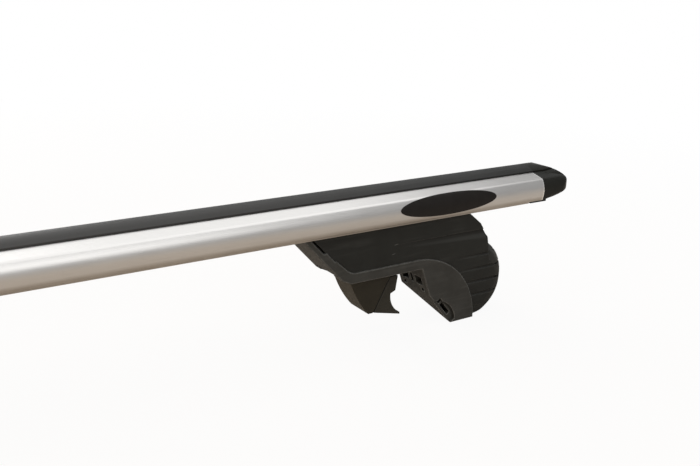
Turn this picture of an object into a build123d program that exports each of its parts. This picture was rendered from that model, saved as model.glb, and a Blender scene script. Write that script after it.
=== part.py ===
from build123d import *
import os

# A roof rack crossbar: an aluminium bar with a rubber slot strip and two end caps, on two feet that clamp on
# raised roof rails. Millimetres. X runs along the bar, -Y is the front and Z is up from the feet's soles.
# Drops are measured down from the underside of the bar, and reaches outwards from the middle of the rail.

# Bar
BAR_LENGTH = 1200.0
BAR_WIDTH = 56.0
BAR_HEIGHT = 28.0
BAR_WALL = 2.0
SHOULDER_WIDTH = 49.0
SHOULDER_FALL = 8.6
SHOULDER_ROUND = 3.0
BASE_CORNER_WIDTH = 53.4
BASE_CORNER_RISE = 1.6
SEAT_LIP = 1.0
BULGE_RISE = 10.0
BEAD_WIDTH = 3.0
BEAD_HEIGHT = 1.4
BEAD_SPACING = 47.0
BEAD_END = 15.0

# Slots of the bar
TOP_SLOT_OPENING = 11.0
TOP_SLOT_WIDTH = 21.0
SLOT_LIP = 2.0
SLOT_WEB = 2.0
FOOT_SLOT_OPENING = 9.0
FOOT_SLOT_WIDTH = 18.0
FOOT_SLOT_HEIGHT = 7.6

# Rubber strip in the top slot
STRIP_WIDTH = 23.0
STRIP_EDGE = 2.3
STRIP_CROWN = 4.0
STRIP_LEG = 1.8
STRIP_BARB = 1.2
STRIP_BARB_HEIGHT = 2.0
STRIP_CLEARANCE = 0.3

# End caps
CAP_LENGTH = 36.0
CAP_NOSE_TOP = 12.0
CAP_NOSE_BASE = 8.0
CAP_CORNER = 14.0
CAP_NOSE_ROUND = 4.5
CAP_ROUND_SHARE = 0.4
CAP_PLUG = 18.0
CAP_FIT = 0.3
CAP_CROWN_RUN = 20.0
CAP_CROWN_FALL = 3.0
CAP_TONGUE = 13.0
CAP_TONGUE_ROOT = 6.0

# Oval badge on the front face
BADGE_LENGTH = 100.0
BADGE_HEIGHT = 17.5
BADGE_THICKNESS = 0.6
BADGE_FROM_END = 107.0
BADGE_BELOW_TOP = 16.0

# Feet
RAIL_SPACING = 920.0
FOOT_HEIGHT = 100.0
FOOT_DEPTH = 41.0
RELIEF = 1.0
SADDLE = 2.0
SADDLE_DEPTH = 33.0
DECK = 4.0
SIDE_WALL = 2.7
COVER_WALL = 2.0
COVER_GAP = 0.3
INBOARD_REACH = 101.0
INBOARD_FOOT = 66.5
BAND_DROP = 35.5
BAND_DEPTH = 9.0
BAND_RUN_IN = 57.5
BAND_ROUND = 14.0
BAND_CHAMFER = 0.6
TAB_DROP = 15.0
TAB_REACH = 79.5
TAB_RUN = 7.0
TAB_FALL = 8.0
TAB_STEP = 1.6
END_WALL = 3.0
END_STRIP = 6.5
END_GAP = 2.4
END_WINDOW = 5.0

# Fixed outer jaw of each foot
JAW_REACH = 12.5
JAW_KNEE_REACH = 21.5
JAW_KNEE_DROP = 70.0
JAW_HEEL_REACH = 46.0
JAW_SKEW = 11.0
SOLE_REACH = 72.0
JAW_SKIN = 8.0
JAW_ROOF = 4.0
CELL_DEPTH = 5.0
UPPER_CELLS = (10.5, 19.0)
LOWER_CELLS = (21.5, 25.0)
WIDE_CELL = (4.6, 14.4)
NARROW_CELL = 1.9
SMALL_CELL = (10.5, 14.4)
REBATE_DEPTH = 2.5
REBATE_START = 8.0
REBATE_MIDDLE = (23.0, 9.0)
REBATE_END = (39.0, 6.0)
WINDOW_DEPTH = 11.0
WINDOW_FIRST = (10.8, 15.6)
WINDOW_SECOND = (17.4, 31.5)
WINDOW_LOW = 2.8
WINDOW_HIGH = 6.4

# Ribbed end of each cover
END_REACH = 110.0
END_RADIUS = 38.6
END_ROUND = 15.0
END_RIM_STEPS = 3
END_SINK = 5.3
END_CLEAR_OF_FLOOR = 1.5
SHOULDER_REACH = 61.0
CORNER_REACH = 75.0
CORNER_DROP = 13.5
LEDGE_REACH = 84.0
LEDGE_DROP = 27.0
CREASE_DROP = 19.0
CREASE_IN = 15.0
CREASE_LOW_DROP = 24.0
CREASE_DEPTH = 1.2
RIB_PITCH = 12.2
RIB_COUNT = 5
GROOVE_WIDTH = 1.6
GROOVE_DEPTH = 1.3
GROOVE_SIDE_DEPTH = 0.9
GROOVE_RUN = 34.0

# Clamp screw, its nut and its thrust wall
SCREW_DROP = 24.0
SCREW_DIAMETER = 8.0
SCREW_HEAD_DIAMETER = 13.0
SCREW_HEAD = 8.0
SCREW_SOCKET = 6.0
SCREW_SOCKET_DEPTH = 4.0
SCREW_CLEARANCE = 0.5
SCREW_CHAMFER = 0.8
THREAD_FIT = 0.1
SCREW_TAIL_REACH = 66.0
THRUST_REACH = 56.0
THRUST_WALL = 4.0
WASHER_DIAMETER = 17.0
WASHER = 1.5
CLIP_DIAMETER = 14.0
CLIP = 1.2
CLIP_OPENING = 6.4
NUT_ACROSS = 13.0
NUT_HEIGHT = 6.5
NUT_REACH = 42.0

# Sliding inner jaw and its claw
SLIDE_MARGIN = 1.5
SLIDE_GAP = 0.3
LEDGE_RAIL = 3.0
LEDGE_RAIL_DROP = 37.5
LEDGE_BITE = 2.6
CARRIAGE_TOP = 16.5
CARRIAGE_IN = 50.0
CARRIAGE_OUT = 12.0
FLARE_REACH = 54.5
FLARE_DROP = 43.5
BACK_REACH = 46.0
BACK_DROP = 63.0
TOE_REACH = 36.0
SEAM_TOP_REACH = 15.0
SEAM_TOP_DROP = 48.5
SEAM_BASE_REACH = 30.5
SEAM_CHAMFER = 0.8
INNER_JAW_DROP = 77.0
CLAW_TOP_REACH = 7.0
CLAW_LIP_REACH = 9.2
CLAW_LIP_DROP = 61.2
CLAW_THROAT_REACH = 14.0
CLAW_THROAT_DROP = 63.2
CLAW_HOOK_REACH = 12.6
CLAW_HOOK_DROP = 72.5
CLAW_TIP_REACH = 4.0
CLAW_TIP_DROP = 81.8
CLAW_TIP_FLAT = 1.7
CLAW_SCREW_DIAMETER = 5.0
CLAW_SCREW_HEAD = 9.0
CLAW_SCREW_HEAD_HEIGHT = 3.0
CLAW_SCREW_SOCKET = 3.0
CLAW_SCREW_SEAT = 3.5
CLAW_SCREW_LENGTH = 16.0
CLAW_SCREW_SPREAD = 13.0
CLAW_SCREW_DOWN = 11.5

# Slot bolts that hold each foot under the bar
BOLT_DIAMETER = 8.0
BOLT_HEAD_LENGTH = 16.0
BOLT_HEAD_WIDTH = 17.0
BOLT_HEAD = 5.0
BOLT_HOLE = 8.6
BOLT_REACHES = (-70.0, 36.0)
BOLT_NUT_ACROSS = 13.0
BOLT_NUT = 6.5
BOLT_WASHER_DIAMETER = 16.0
BOLT_WASHER = 1.6
BOLT_TAIL = 1.0
BOLT_CHAMFER = 0.9

# Heights and half sizes that follow from the sizes above
BAR_TOP = FOOT_HEIGHT + BAR_HEIGHT
SEAT_FALL = STRIP_EDGE + STRIP_CROWN
RAIL_X = RAIL_SPACING / 2
BAND_FACE = FOOT_DEPTH / 2
COVER_FACE = BAND_FACE - RELIEF
PLATE_FACE = COVER_FACE - COVER_WALL - COVER_GAP
PLATE_INNER = PLATE_FACE - SIDE_WALL
SLIDE_DEPTH = 2 * (PLATE_INNER - SLIDE_MARGIN)
BAND_BASE_DROP = BAND_DROP + BAND_DEPTH
THRUST_FACE = THRUST_REACH + THRUST_WALL
HEAD_REACH = THRUST_FACE + WASHER
PANEL_INSET = END_STRIP + END_GAP
OVERCUT = 4.0


def in_section(face, along_from, along_to):
    """A prism of a section drawn in Y and Z, from one place along X to another."""
    return extrude(Plane.YZ.offset(along_from) * face, along_to - along_from)


def side_face(*edges):
    """A face in the side view of the right foot, from edges drawn as reach and height."""
    return make_face(Plane.XZ * (Curve() + list(edges)))


def across(face, near, far):
    """A prism of a side view face between two distances from the middle of the foot, on the front side."""
    moved = Pos(0, -near, 0) * face
    return extrude(moved, far - near, dir=(0, -1, 0))


def through(face, half_depth):
    """A prism of a side view face over the whole depth of the foot."""
    return extrude(Pos(0, half_depth, 0) * face, 2 * half_depth, dir=(0, -1, 0))


def at(reach, drop):
    """A point of the right foot's side view."""
    return (RAIL_X + reach, FOOT_HEIGHT - drop)


def outline(*points):
    """The straight closed outline through points of the side view, as a face."""
    return side_face(Polyline(*points, close=True))


def both_sides(solid):
    """A solid of the front side with its like at the back."""
    return solid + mirror(solid, about=Plane.XZ)


def lying_cylinder(radius, start, end, drop):
    """A cylinder along X between two reaches, at a drop below the bar."""
    x, z = at((start + end) / 2, drop)
    return Pos(x, 0, z) * Rot(0, 90, 0) * Cylinder(radius, abs(end - start))


# Bar

def bar_half_points():
    """Corners of the right half of the bar's outline: strip seat lip, shoulder, bulge and lower corner."""
    lip = (STRIP_WIDTH / 2 + STRIP_CLEARANCE, BAR_TOP - SEAT_FALL + SEAT_LIP)
    shoulder = (SHOULDER_WIDTH / 2, BAR_TOP - SHOULDER_FALL)
    bulge = (BAR_WIDTH / 2, FOOT_HEIGHT + BULGE_RISE)
    corner = (BASE_CORNER_WIDTH / 2, FOOT_HEIGHT + BASE_CORNER_RISE)
    base = (corner[0] - BASE_CORNER_RISE, FOOT_HEIGHT)
    return lip, shoulder, bulge, corner, base


def mirrored_face(*half_edges):
    """A face in Y and Z from the edges of its right half, which start and end on the middle line."""
    half = make_face(Curve() + list(half_edges) + [Line(half_edges[-1] @ 1, half_edges[0] @ 0)])
    return half + mirror(half, about=Plane.YZ)


def bar_outline():
    """The bar's outline without the strip: a flat strip seat, sloping shoulders and bulged faces."""
    lip, shoulder, bulge, corner, base = bar_half_points()
    seat = BAR_TOP - SEAT_FALL
    round_sink = BASE_CORNER_RISE * (1 - 2 ** -0.5)
    run = [
        Polyline((0, seat), (lip[0], seat), lip, shoulder),
        ThreePointArc(shoulder, bulge, corner),
        ThreePointArc(corner, (corner[0] - round_sink, FOOT_HEIGHT + round_sink), base),
        Line(base, (0, FOOT_HEIGHT)),
    ]
    whole = mirrored_face(*run)
    creases = [v for v in whole.vertices() if abs(v.Y - shoulder[1]) < SEAT_LIP and abs(v.X) > lip[0]]
    return fillet(creases, SHOULDER_ROUND)


def channel(width, low, high):
    """A rectangle of the bar's section between two heights."""
    return Pos(0, (low + high) / 2) * Rectangle(width, high - low)


def slot_heights():
    """Heights of the slots: the top slot's mouth, roof and floor, then the foot slot's ceiling and lips."""
    seat = BAR_TOP - SEAT_FALL
    top_roof = seat - SLOT_LIP
    foot_lip = FOOT_HEIGHT + SLOT_LIP
    foot_ceiling = foot_lip + FOOT_SLOT_HEIGHT
    top_floor = foot_ceiling + SLOT_WEB
    return seat, top_roof, top_floor, foot_ceiling, foot_lip


def bar_chambers(fit=0.0):
    """The two closed chambers beside the slots, or the caps' plugs, which are smaller by the fit."""
    lip, shoulder, bulge, corner, base = bar_half_points()
    wall = BAR_WALL + fit
    inner = TOP_SLOT_WIDTH / 2 + SLOT_WEB + fit
    heel = (corner[0] - wall, FOOT_HEIGHT + wall)
    roof = (shoulder[0] - wall, shoulder[1] - wall)
    inner_roof = (inner, BAR_TOP - SEAT_FALL - SLOT_LIP - fit)
    sides = Polyline(heel, (inner, FOOT_HEIGHT + wall), inner_roof, roof)
    front = ThreePointArc(roof, (bulge[0] - wall, bulge[1]), heel)
    chamber = make_face(Curve() + [sides, front])
    return chamber + mirror(chamber, about=Plane.YZ)


def bar_section():
    """The extruded section: two chambers, the top slot under the strip and the foot slot in the underside."""
    seat, top_roof, top_floor, foot_ceiling, foot_lip = slot_heights()
    section = bar_outline() - bar_chambers()
    section -= channel(TOP_SLOT_OPENING, top_floor, seat)
    section -= channel(TOP_SLOT_WIDTH, top_floor, top_roof)
    section -= channel(FOOT_SLOT_OPENING, FOOT_HEIGHT, foot_ceiling)
    section -= channel(FOOT_SLOT_WIDTH, foot_lip, foot_ceiling)
    return section


def bar_extrusion():
    """The bar itself, with two low beads under it that stop short of the ends."""
    bar = in_section(bar_section(), -BAR_LENGTH / 2, BAR_LENGTH / 2)
    bead = Pos(BEAD_SPACING / 2, FOOT_HEIGHT - BEAD_HEIGHT / 2) * Rectangle(BEAD_WIDTH, BEAD_HEIGHT)
    bead = fillet(bead.vertices().sort_by(Axis.Y)[:2], BEAD_HEIGHT / 2)
    beads = bead + mirror(bead, about=Plane.YZ)
    return bar + in_section(beads, BEAD_END - BAR_LENGTH / 2, BAR_LENGTH / 2 - BEAD_END)


def strip_dome():
    """The strip's visible section: upright edges under a domed top."""
    seat = BAR_TOP - SEAT_FALL
    edge = STRIP_WIDTH / 2
    dome = ThreePointArc((edge, seat + STRIP_EDGE), (0, BAR_TOP), (-edge, seat + STRIP_EDGE))
    sides = Polyline((-edge, seat + STRIP_EDGE), (-edge, seat), (edge, seat), (edge, seat + STRIP_EDGE))
    return make_face(Curve() + [dome, sides])


def top_slot_strip():
    """The rubber strip, with two barbed legs that clip under the lips of the top slot."""
    seat, top_roof, top_floor, foot_ceiling, foot_lip = slot_heights()
    outside = TOP_SLOT_OPENING / 2 - STRIP_CLEARANCE
    barb_top = top_roof - STRIP_CLEARANCE
    barb_base = barb_top - STRIP_BARB_HEIGHT
    barb_tip = outside + STRIP_CLEARANCE + STRIP_BARB
    inside = outside - STRIP_LEG
    leg_points = [
        (inside, seat + STRIP_EDGE / 2), (outside, seat + STRIP_EDGE / 2), (outside, barb_top),
        (barb_tip, barb_top), (outside, barb_base), (inside, barb_base),
    ]
    leg = make_face(Polyline(*leg_points, close=True))
    section = strip_dome() + leg + mirror(leg, about=Plane.YZ)
    return in_section(section, -BAR_LENGTH / 2, BAR_LENGTH / 2)


def end_cap():
    """The right end cap: the bar's outline tapered to a rounded nose, with two plugs and two tongues."""
    joint = BAR_LENGTH / 2
    tip = joint + CAP_LENGTH
    seat_fill = channel(STRIP_WIDTH + 2 * STRIP_CLEARANCE, FOOT_HEIGHT, BAR_TOP - SEAT_FALL)
    shell = in_section(bar_outline() + strip_dome() + seat_fill, joint, tip)
    nose_top = (tip, BAR_TOP - CAP_NOSE_TOP)
    nose_base = (tip, FOOT_HEIGHT + CAP_NOSE_BASE)
    crown = ThreePointArc((joint, BAR_TOP), (joint + CAP_CROWN_RUN, BAR_TOP - CAP_CROWN_FALL), nose_top)
    rest = Polyline(nose_top, nose_base, (joint, FOOT_HEIGHT), (joint, BAR_TOP))
    side = side_face(crown, rest)
    nose_round = min(CAP_NOSE_ROUND, CAP_ROUND_SHARE * (nose_top[1] - nose_base[1]))
    side = fillet(side.vertices().sort_by(Axis.X)[-2:], nose_round)
    plan = Pos(joint, 0) * Rectangle(2 * CAP_LENGTH, BAR_WIDTH)
    plan = fillet(plan.vertices().sort_by(Axis.X)[-2:], CAP_CORNER)
    cap = shell & through(side, BAR_WIDTH) & extrude(Pos(0, 0, FOOT_HEIGHT) * plan, BAR_HEIGHT)
    cap += in_section(bar_chambers(CAP_FIT), joint - CAP_PLUG, joint)
    tongue = Box(CAP_TONGUE, BEAD_WIDTH, BEAD_HEIGHT)
    root = Box(CAP_TONGUE_ROOT, BEAD_WIDTH, 2 * BEAD_HEIGHT)
    for y in (BEAD_SPACING / 2, -BEAD_SPACING / 2):
        cap += Pos(joint - CAP_TONGUE / 2, y, FOOT_HEIGHT - BEAD_HEIGHT / 2) * tongue
        cap += Pos(joint + CAP_TONGUE_ROOT / 2, y, FOOT_HEIGHT) * root
    return cap


def badge_oval():
    """The thin oval badge, bent to the bulge of the bar's front face."""
    centre_x = BAR_LENGTH / 2 - BADGE_FROM_END
    skin = Pos(-BADGE_THICKNESS, 0) * bar_outline() - bar_outline()
    sleeve = in_section(skin, centre_x - BADGE_LENGTH, centre_x + BADGE_LENGTH)
    oval = Plane.XZ * (Pos(centre_x, BAR_TOP - BADGE_BELOW_TOP) * Ellipse(BADGE_LENGTH / 2, BADGE_HEIGHT / 2))
    return sleeve & extrude(oval, BAR_WIDTH)


# Foot: outlines of the side view

def jaw_face_points():
    """The rail face of the fixed outer jaw, from the band down to the sole."""
    top = at(JAW_REACH, BAND_BASE_DROP)
    knee = at(JAW_KNEE_REACH, JAW_KNEE_DROP)
    heel = at(JAW_HEEL_REACH, FOOT_HEIGHT)
    return top, knee, heel


def inboard_edge(drop):
    """Reach of the slanted inboard end at a drop, as a point."""
    share = (drop - SADDLE) / (BAND_DROP + BAND_DEPTH / 2 - SADDLE)
    return at(-INBOARD_REACH + share * (INBOARD_REACH - INBOARD_FOOT), drop)


def inboard_inset(drop, inset):
    """A point beside the slanted inboard end at a drop, set outboard by the inset."""
    x, z = inboard_edge(drop)
    return (x + inset, z)


def band_face():
    """The proud band: a strip up the inboard end, a stepped tab, a low band and the jaw's arched cheek."""
    top, knee, heel = jaw_face_points()
    arch_radius = FOOT_HEIGHT - BAND_DROP
    arch = CenterArc(at(SOLE_REACH - arch_radius, FOOT_HEIGHT), arch_radius, 0, 90)
    tab_base = (-TAB_REACH + TAB_RUN, TAB_DROP + TAB_FALL)
    bend = at(-BAND_RUN_IN, BAND_DROP)
    rest = Polyline(
        arch @ 1, bend, at(tab_base[0] + TAB_STEP, tab_base[1]), at(*tab_base), at(-TAB_REACH, TAB_DROP),
        inboard_inset(TAB_DROP, END_STRIP), inboard_inset(SADDLE, END_STRIP), inboard_edge(SADDLE),
        inboard_edge(BAND_DROP + BAND_DEPTH / 2), at(-BAND_RUN_IN, BAND_BASE_DROP), top, knee, heel, arch @ 0,
    )
    band = side_face(arch, rest)
    corner = band.vertices().sort_by_distance(Vector(bend[0], 0, bend[1]))[0]
    return fillet(corner, BAND_ROUND)


def plate_face():
    """The foot base's inner side walls, from the deck to the band and jaw, open behind the end strip."""
    top, knee, heel = jaw_face_points()
    walls = outline(
        inboard_edge(SADDLE), inboard_edge(BAND_DROP + BAND_DEPTH / 2), at(-BAND_RUN_IN, BAND_BASE_DROP),
        top, knee, heel, at(SOLE_REACH, FOOT_HEIGHT), at(SOLE_REACH, JAW_KNEE_DROP),
        at(THRUST_FACE, BAND_DROP), at(THRUST_FACE, SADDLE),
    )
    window = outline(
        inboard_inset(SADDLE, END_WALL), inboard_inset(TAB_DROP, END_WALL),
        inboard_inset(TAB_DROP, PANEL_INSET + END_WINDOW), inboard_inset(SADDLE, PANEL_INSET + END_WINDOW),
    )
    return walls - window


def panel_face():
    """The cover's flat side panel, before the band is taken out of it and the round end is added."""
    round_reach, round_drop = END_REACH - END_RADIUS, end_drop()
    flat = (END_RADIUS - END_ROUND) * 2 ** -0.5
    return outline(
        inboard_inset(SADDLE, PANEL_INSET), at(SHOULDER_REACH, SADDLE), at(CORNER_REACH, CORNER_DROP),
        at(LEDGE_REACH, LEDGE_DROP), at(round_reach + flat, round_drop - flat), at(round_reach, round_drop),
        at(JAW_HEEL_REACH, JAW_KNEE_DROP), at(JAW_KNEE_REACH, BAND_BASE_DROP - RELIEF),
        at(-BAND_RUN_IN, BAND_BASE_DROP - RELIEF), at(-TAB_REACH, TAB_DROP + BAND_DEPTH / 2),
        inboard_inset(TAB_DROP + RELIEF, PANEL_INSET),
    )


def panel_crease():
    """The shallow recess that runs along each panel under its shoulder and fades out inboard."""
    side = outline(
        at(-CREASE_IN, CREASE_DROP), at(END_REACH, CREASE_DROP), at(END_REACH, LEDGE_DROP + CREASE_DEPTH),
        at(LEDGE_REACH, LEDGE_DROP + CREASE_DEPTH), at(0, CREASE_LOW_DROP),
    )
    start, end = RAIL_X - CREASE_IN, RAIL_X + END_REACH
    wedge = Polyline((start, -COVER_FACE), (end, -COVER_FACE), (end, CREASE_DEPTH - COVER_FACE), close=True)
    return both_sides(through(side, BAND_FACE) & extrude(make_face(wedge), FOOT_HEIGHT))


def end_drop():
    """Drop of the middle of the cover's round end."""
    return FOOT_HEIGHT - END_RADIUS + END_SINK


# Foot: pieces of the right foot

def jaw_block():
    """The fixed outer jaw between the side walls: a thick rail face and sole, hollow towards the cover."""
    top, knee, heel = jaw_face_points()
    roof_reach = JAW_KNEE_REACH + JAW_SKIN
    sole_top = FOOT_HEIGHT - JAW_SKIN
    block = outline(
        at(-CLAW_TIP_REACH, BAND_BASE_DROP), top, knee, heel, at(SOLE_REACH, FOOT_HEIGHT),
        at(SOLE_REACH, JAW_KNEE_DROP), at(roof_reach, BAND_BASE_DROP - SIDE_WALL),
        at(-CLAW_TIP_REACH, BAND_BASE_DROP - SIDE_WALL),
    )
    hollow = outline(
        at(roof_reach - JAW_ROOF, BAND_BASE_DROP + JAW_ROOF), at(roof_reach + JAW_ROOF, JAW_KNEE_DROP),
        at(JAW_HEEL_REACH + JAW_ROOF, sole_top), at(SOLE_REACH + JAW_SKIN, sole_top),
        at(SOLE_REACH + JAW_SKIN, BAND_BASE_DROP + JAW_ROOF),
    )
    return through(block, PLATE_FACE) - through(hollow, PLATE_INNER)


def along_face(start, end, along, inward):
    """A side view point beside a stretch of the rail face: so far along it, and so far into the jaw."""
    run = (Vector(*end) - Vector(*start)).normalized()
    point = Vector(*start) + run * along + Vector(-run.Y, run.X) * inward
    return (point.X, point.Y)


def face_patch(start, end, span, low, high):
    """A rectangle of the side view along a span of the rail face, between two depths into the jaw."""
    corners = [(span[0], low), (span[1], low), (span[1], high), (span[0], high)]
    return outline(*[along_face(start, end, *corner) for corner in corners])


def jaw_cells():
    """The cells of the upper rail face: two wide ones beside a narrow one, over two small ones."""
    top, knee, heel = jaw_face_points()
    upper = face_patch(top, knee, UPPER_CELLS, -OVERCUT, CELL_DEPTH)
    lower = face_patch(top, knee, LOWER_CELLS, -OVERCUT, CELL_DEPTH)
    return both_sides(across(upper, *WIDE_CELL) + across(lower, *SMALL_CELL)) + through(upper, NARROW_CELL)


def jaw_rebate():
    """The scalloped rebate in the cheek beside the lower rail face, with two windows parted by a rib."""
    top, knee, heel = jaw_face_points()
    start = along_face(knee, heel, REBATE_START, 0)
    middle = along_face(knee, heel, *REBATE_MIDDLE)
    end = along_face(knee, heel, *REBATE_END)
    below_end = along_face(knee, heel, REBATE_END[0], -OVERCUT)
    below_start = along_face(knee, heel, REBATE_START, -OVERCUT)
    scallop = side_face(ThreePointArc(start, middle, end), Polyline(end, below_end, below_start, start))
    rebate = across(scallop, BAND_FACE - REBATE_DEPTH, BAND_FACE + OVERCUT)
    for span in (WINDOW_FIRST, WINDOW_SECOND):
        window = face_patch(knee, heel, span, WINDOW_LOW, WINDOW_HIGH)
        rebate += across(window, BAND_FACE - WINDOW_DEPTH, BAND_FACE)
    return rebate


def jaw_bevel():
    """The wedge off the lower back of the jaw, up to a line from the knee behind to the heel in front."""
    top, knee, heel = jaw_face_points()
    back = Vector(knee[0], BAND_FACE, knee[1])
    front = Vector(heel[0], -BAND_FACE, heel[1])
    skewed = Vector(heel[0] + JAW_SKEW, BAND_FACE, heel[1])
    cut = Plane(origin=front, z_dir=(front - back).cross(skewed - back))
    size = 4 * END_REACH
    return cut * Pos(0, 0, -size / 2) * Box(size, size, size) & below(JAW_KNEE_DROP)


def below(drop):
    """Everything of the foot below a drop, as a box."""
    size = 4 * END_REACH
    return Pos(RAIL_X, 0, FOOT_HEIGHT - drop - size / 2) * Box(size, size, size)


def foot_base():
    """The foot's structural moulding: side walls with the proud band, deck, end wall, thrust wall and jaw."""
    walls = both_sides(across(plate_face(), PLATE_INNER, PLATE_FACE))
    band = both_sides(across(band_face(), PLATE_INNER, BAND_FACE))
    edges = [e for e in band.edges() if abs(abs(e.center().Y) - BAND_FACE) < 0.01]
    band = chamfer(edges, BAND_CHAMFER)
    deck_start = inboard_inset(SADDLE, PANEL_INSET + END_WINDOW)[0]
    deck = outline(
        (deck_start, FOOT_HEIGHT - SADDLE), (deck_start, FOOT_HEIGHT - SADDLE - DECK),
        at(THRUST_FACE, SADDLE + DECK), at(THRUST_FACE, SADDLE),
    )
    end_wall = outline(
        inboard_edge(SADDLE), inboard_edge(BAND_DROP), inboard_inset(BAND_DROP, END_WALL),
        inboard_inset(SADDLE, END_WALL),
    )
    thrust = outline(
        at(THRUST_REACH, SADDLE), at(THRUST_FACE, SADDLE),
        at(THRUST_FACE, BAND_DROP), at(THRUST_REACH, BAND_DROP),
    )
    base = walls + band + jaw_block()
    for plate in (deck, end_wall, thrust):
        base += through(plate, PLATE_FACE)
    rail_base = LEDGE_RAIL_DROP + LEDGE_RAIL
    rail = outline(
        inboard_edge(LEDGE_RAIL_DROP), at(-CLAW_TIP_REACH, LEDGE_RAIL_DROP), at(-CLAW_TIP_REACH, rail_base),
        at(-BAND_RUN_IN, rail_base), inboard_edge(BAND_DROP + BAND_DEPTH / 2),
    )
    base += both_sides(across(rail, PLATE_INNER - LEDGE_BITE, PLATE_INNER))
    base -= jaw_cells() + jaw_rebate()
    base -= jaw_bevel()
    shank_hole = SCREW_DIAMETER / 2 + SCREW_CLEARANCE
    base -= lying_cylinder(shank_hole, THRUST_REACH - OVERCUT, THRUST_FACE + OVERCUT, SCREW_DROP)
    for reach in BOLT_REACHES:
        x, z = at(reach, SADDLE + DECK / 2)
        base -= Pos(x, 0, z) * Cylinder(BOLT_HOLE / 2, 3 * DECK)
    return base


def round_end(radius, half_depth, rounding, rim_steps=END_RIM_STEPS):
    """A disc across the foot, its rims rounded in steps: the cover's end, its grooves' floor or its hollow."""
    x, z = at(END_REACH - END_RADIUS, end_drop())
    rim = CenterArc((half_depth - rounding, radius - rounding), rounding, 0, 90)
    steps = [rim @ (step / rim_steps) for step in range(rim_steps + 1)]
    half = [(half_depth, 0)] + [(point.X, point.Y) for point in steps]
    whole = half + [(-depth, out) for depth, out in reversed(half)]
    profile = Plane(origin=(x, 0, z), x_dir=(0, 1, 0), z_dir=(1, 0, 0)) * Polyline(*whole, close=True)
    return revolve(make_face(profile), Axis((x, 0, z), (0, 1, 0)))


def grooves_floor():
    """What the grooves leave of the ribbed end: they are deepest on its rim and fade out along the panels."""
    floor = round_end(END_RADIUS - GROOVE_DEPTH, COVER_FACE - GROOVE_SIDE_DEPTH, END_ROUND)
    fade_start = RAIL_X + END_REACH - GROOVE_RUN
    fade_end = RAIL_X + END_REACH - END_ROUND
    outside, inside = COVER_FACE + COVER_GAP, COVER_FACE - GROOVE_SIDE_DEPTH
    fade = Polyline(
        (fade_start, outside), (fade_end, inside), (fade_end, -inside), (fade_start, -outside),
        (RAIL_X, -outside), (RAIL_X, outside), close=True,
    )
    return floor + extrude(make_face(fade), FOOT_HEIGHT)


def foot_cover():
    """The smooth cover: two side panels over the base, joined by a hollow ribbed end behind the jaw."""
    cover = through(panel_face(), COVER_FACE) + round_end(END_RADIUS, COVER_FACE, END_ROUND)
    floor = grooves_floor()
    for index in range(RIB_COUNT):
        drop = end_drop() + (index - (RIB_COUNT - 1) / 2) * RIB_PITCH
        x, z = at(END_REACH, drop)
        slab = Pos(x, 0, z) * Box(END_RADIUS * 2, FOOT_DEPTH * 2, GROOVE_WIDTH)
        cover -= slab - floor
    cover -= panel_crease()
    cover -= through(offset(band_face(), COVER_GAP), BAND_FACE)
    inside_half = PLATE_FACE + COVER_GAP
    inside_length = INBOARD_REACH + SOLE_REACH + COVER_GAP
    inside = Box(inside_length, 2 * inside_half, 4 * FOOT_HEIGHT)
    cover -= Pos(RAIL_X + SOLE_REACH + COVER_GAP - inside_length / 2, 0, FOOT_HEIGHT) * inside
    hollow_radius = END_RADIUS - COVER_WALL - GROOVE_DEPTH
    hollow = round_end(hollow_radius, inside_half, END_ROUND - COVER_WALL, rim_steps=1)
    cover -= hollow - below(FOOT_HEIGHT - END_CLEAR_OF_FLOOR - COVER_WALL)
    key_notch = outline(
        at(THRUST_REACH, -SADDLE), at(END_REACH, -SADDLE),
        at(END_REACH, LEDGE_DROP), at(THRUST_REACH, LEDGE_DROP),
    )
    cover -= through(key_notch, inside_half)
    return cover - below(FOOT_HEIGHT - END_CLEAR_OF_FLOOR)


def saddle_pad():
    """The thin rubber saddle between the foot's deck and the underside of the bar."""
    inboard = inboard_inset(SADDLE, PANEL_INSET + END_WINDOW)[0]
    outboard = RAIL_X + THRUST_FACE
    pad = Box(outboard - inboard, SADDLE_DEPTH, SADDLE)
    pad = Pos((inboard + outboard) / 2, 0, FOOT_HEIGHT - SADDLE / 2) * pad
    for reach in BOLT_REACHES:
        pad -= Pos(RAIL_X + reach, 0, FOOT_HEIGHT) * Cylinder(BOLT_HOLE / 2, 3 * SADDLE)
    return pad


def slot_bolt(reach):
    """One T-head bolt: its head lies on the lips of the foot slot, over a shank through saddle and deck."""
    head_base = FOOT_HEIGHT + SLOT_LIP
    tail = FOOT_HEIGHT - SADDLE - DECK - BOLT_WASHER - BOLT_NUT - BOLT_TAIL
    x = RAIL_X + reach
    head = Pos(x, 0, head_base + BOLT_HEAD / 2) * Box(BOLT_HEAD_LENGTH, BOLT_HEAD_WIDTH, BOLT_HEAD)
    head = chamfer(head.edges().group_by(Axis.Z)[-1], BOLT_CHAMFER)
    shank = Pos(x, 0, (head_base + tail) / 2) * Cylinder(BOLT_DIAMETER / 2, head_base - tail)
    return head + chamfer(shank.edges().group_by(Axis.Z)[0], BOLT_CHAMFER)


def slot_washer(reach):
    """The flat washer under the deck."""
    z = FOOT_HEIGHT - SADDLE - DECK - BOLT_WASHER / 2
    ring = Cylinder(BOLT_WASHER_DIAMETER / 2, BOLT_WASHER) - Cylinder(BOLT_HOLE / 2, 2 * BOLT_WASHER)
    return Pos(RAIL_X + reach, 0, z) * ring


def hexagon(across_flats, height):
    """A hexagonal prism centred at the origin."""
    face = RegularPolygon(across_flats / 2, 6, major_radius=False)
    return Pos(0, 0, -height / 2) * extrude(face, height)


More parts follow.
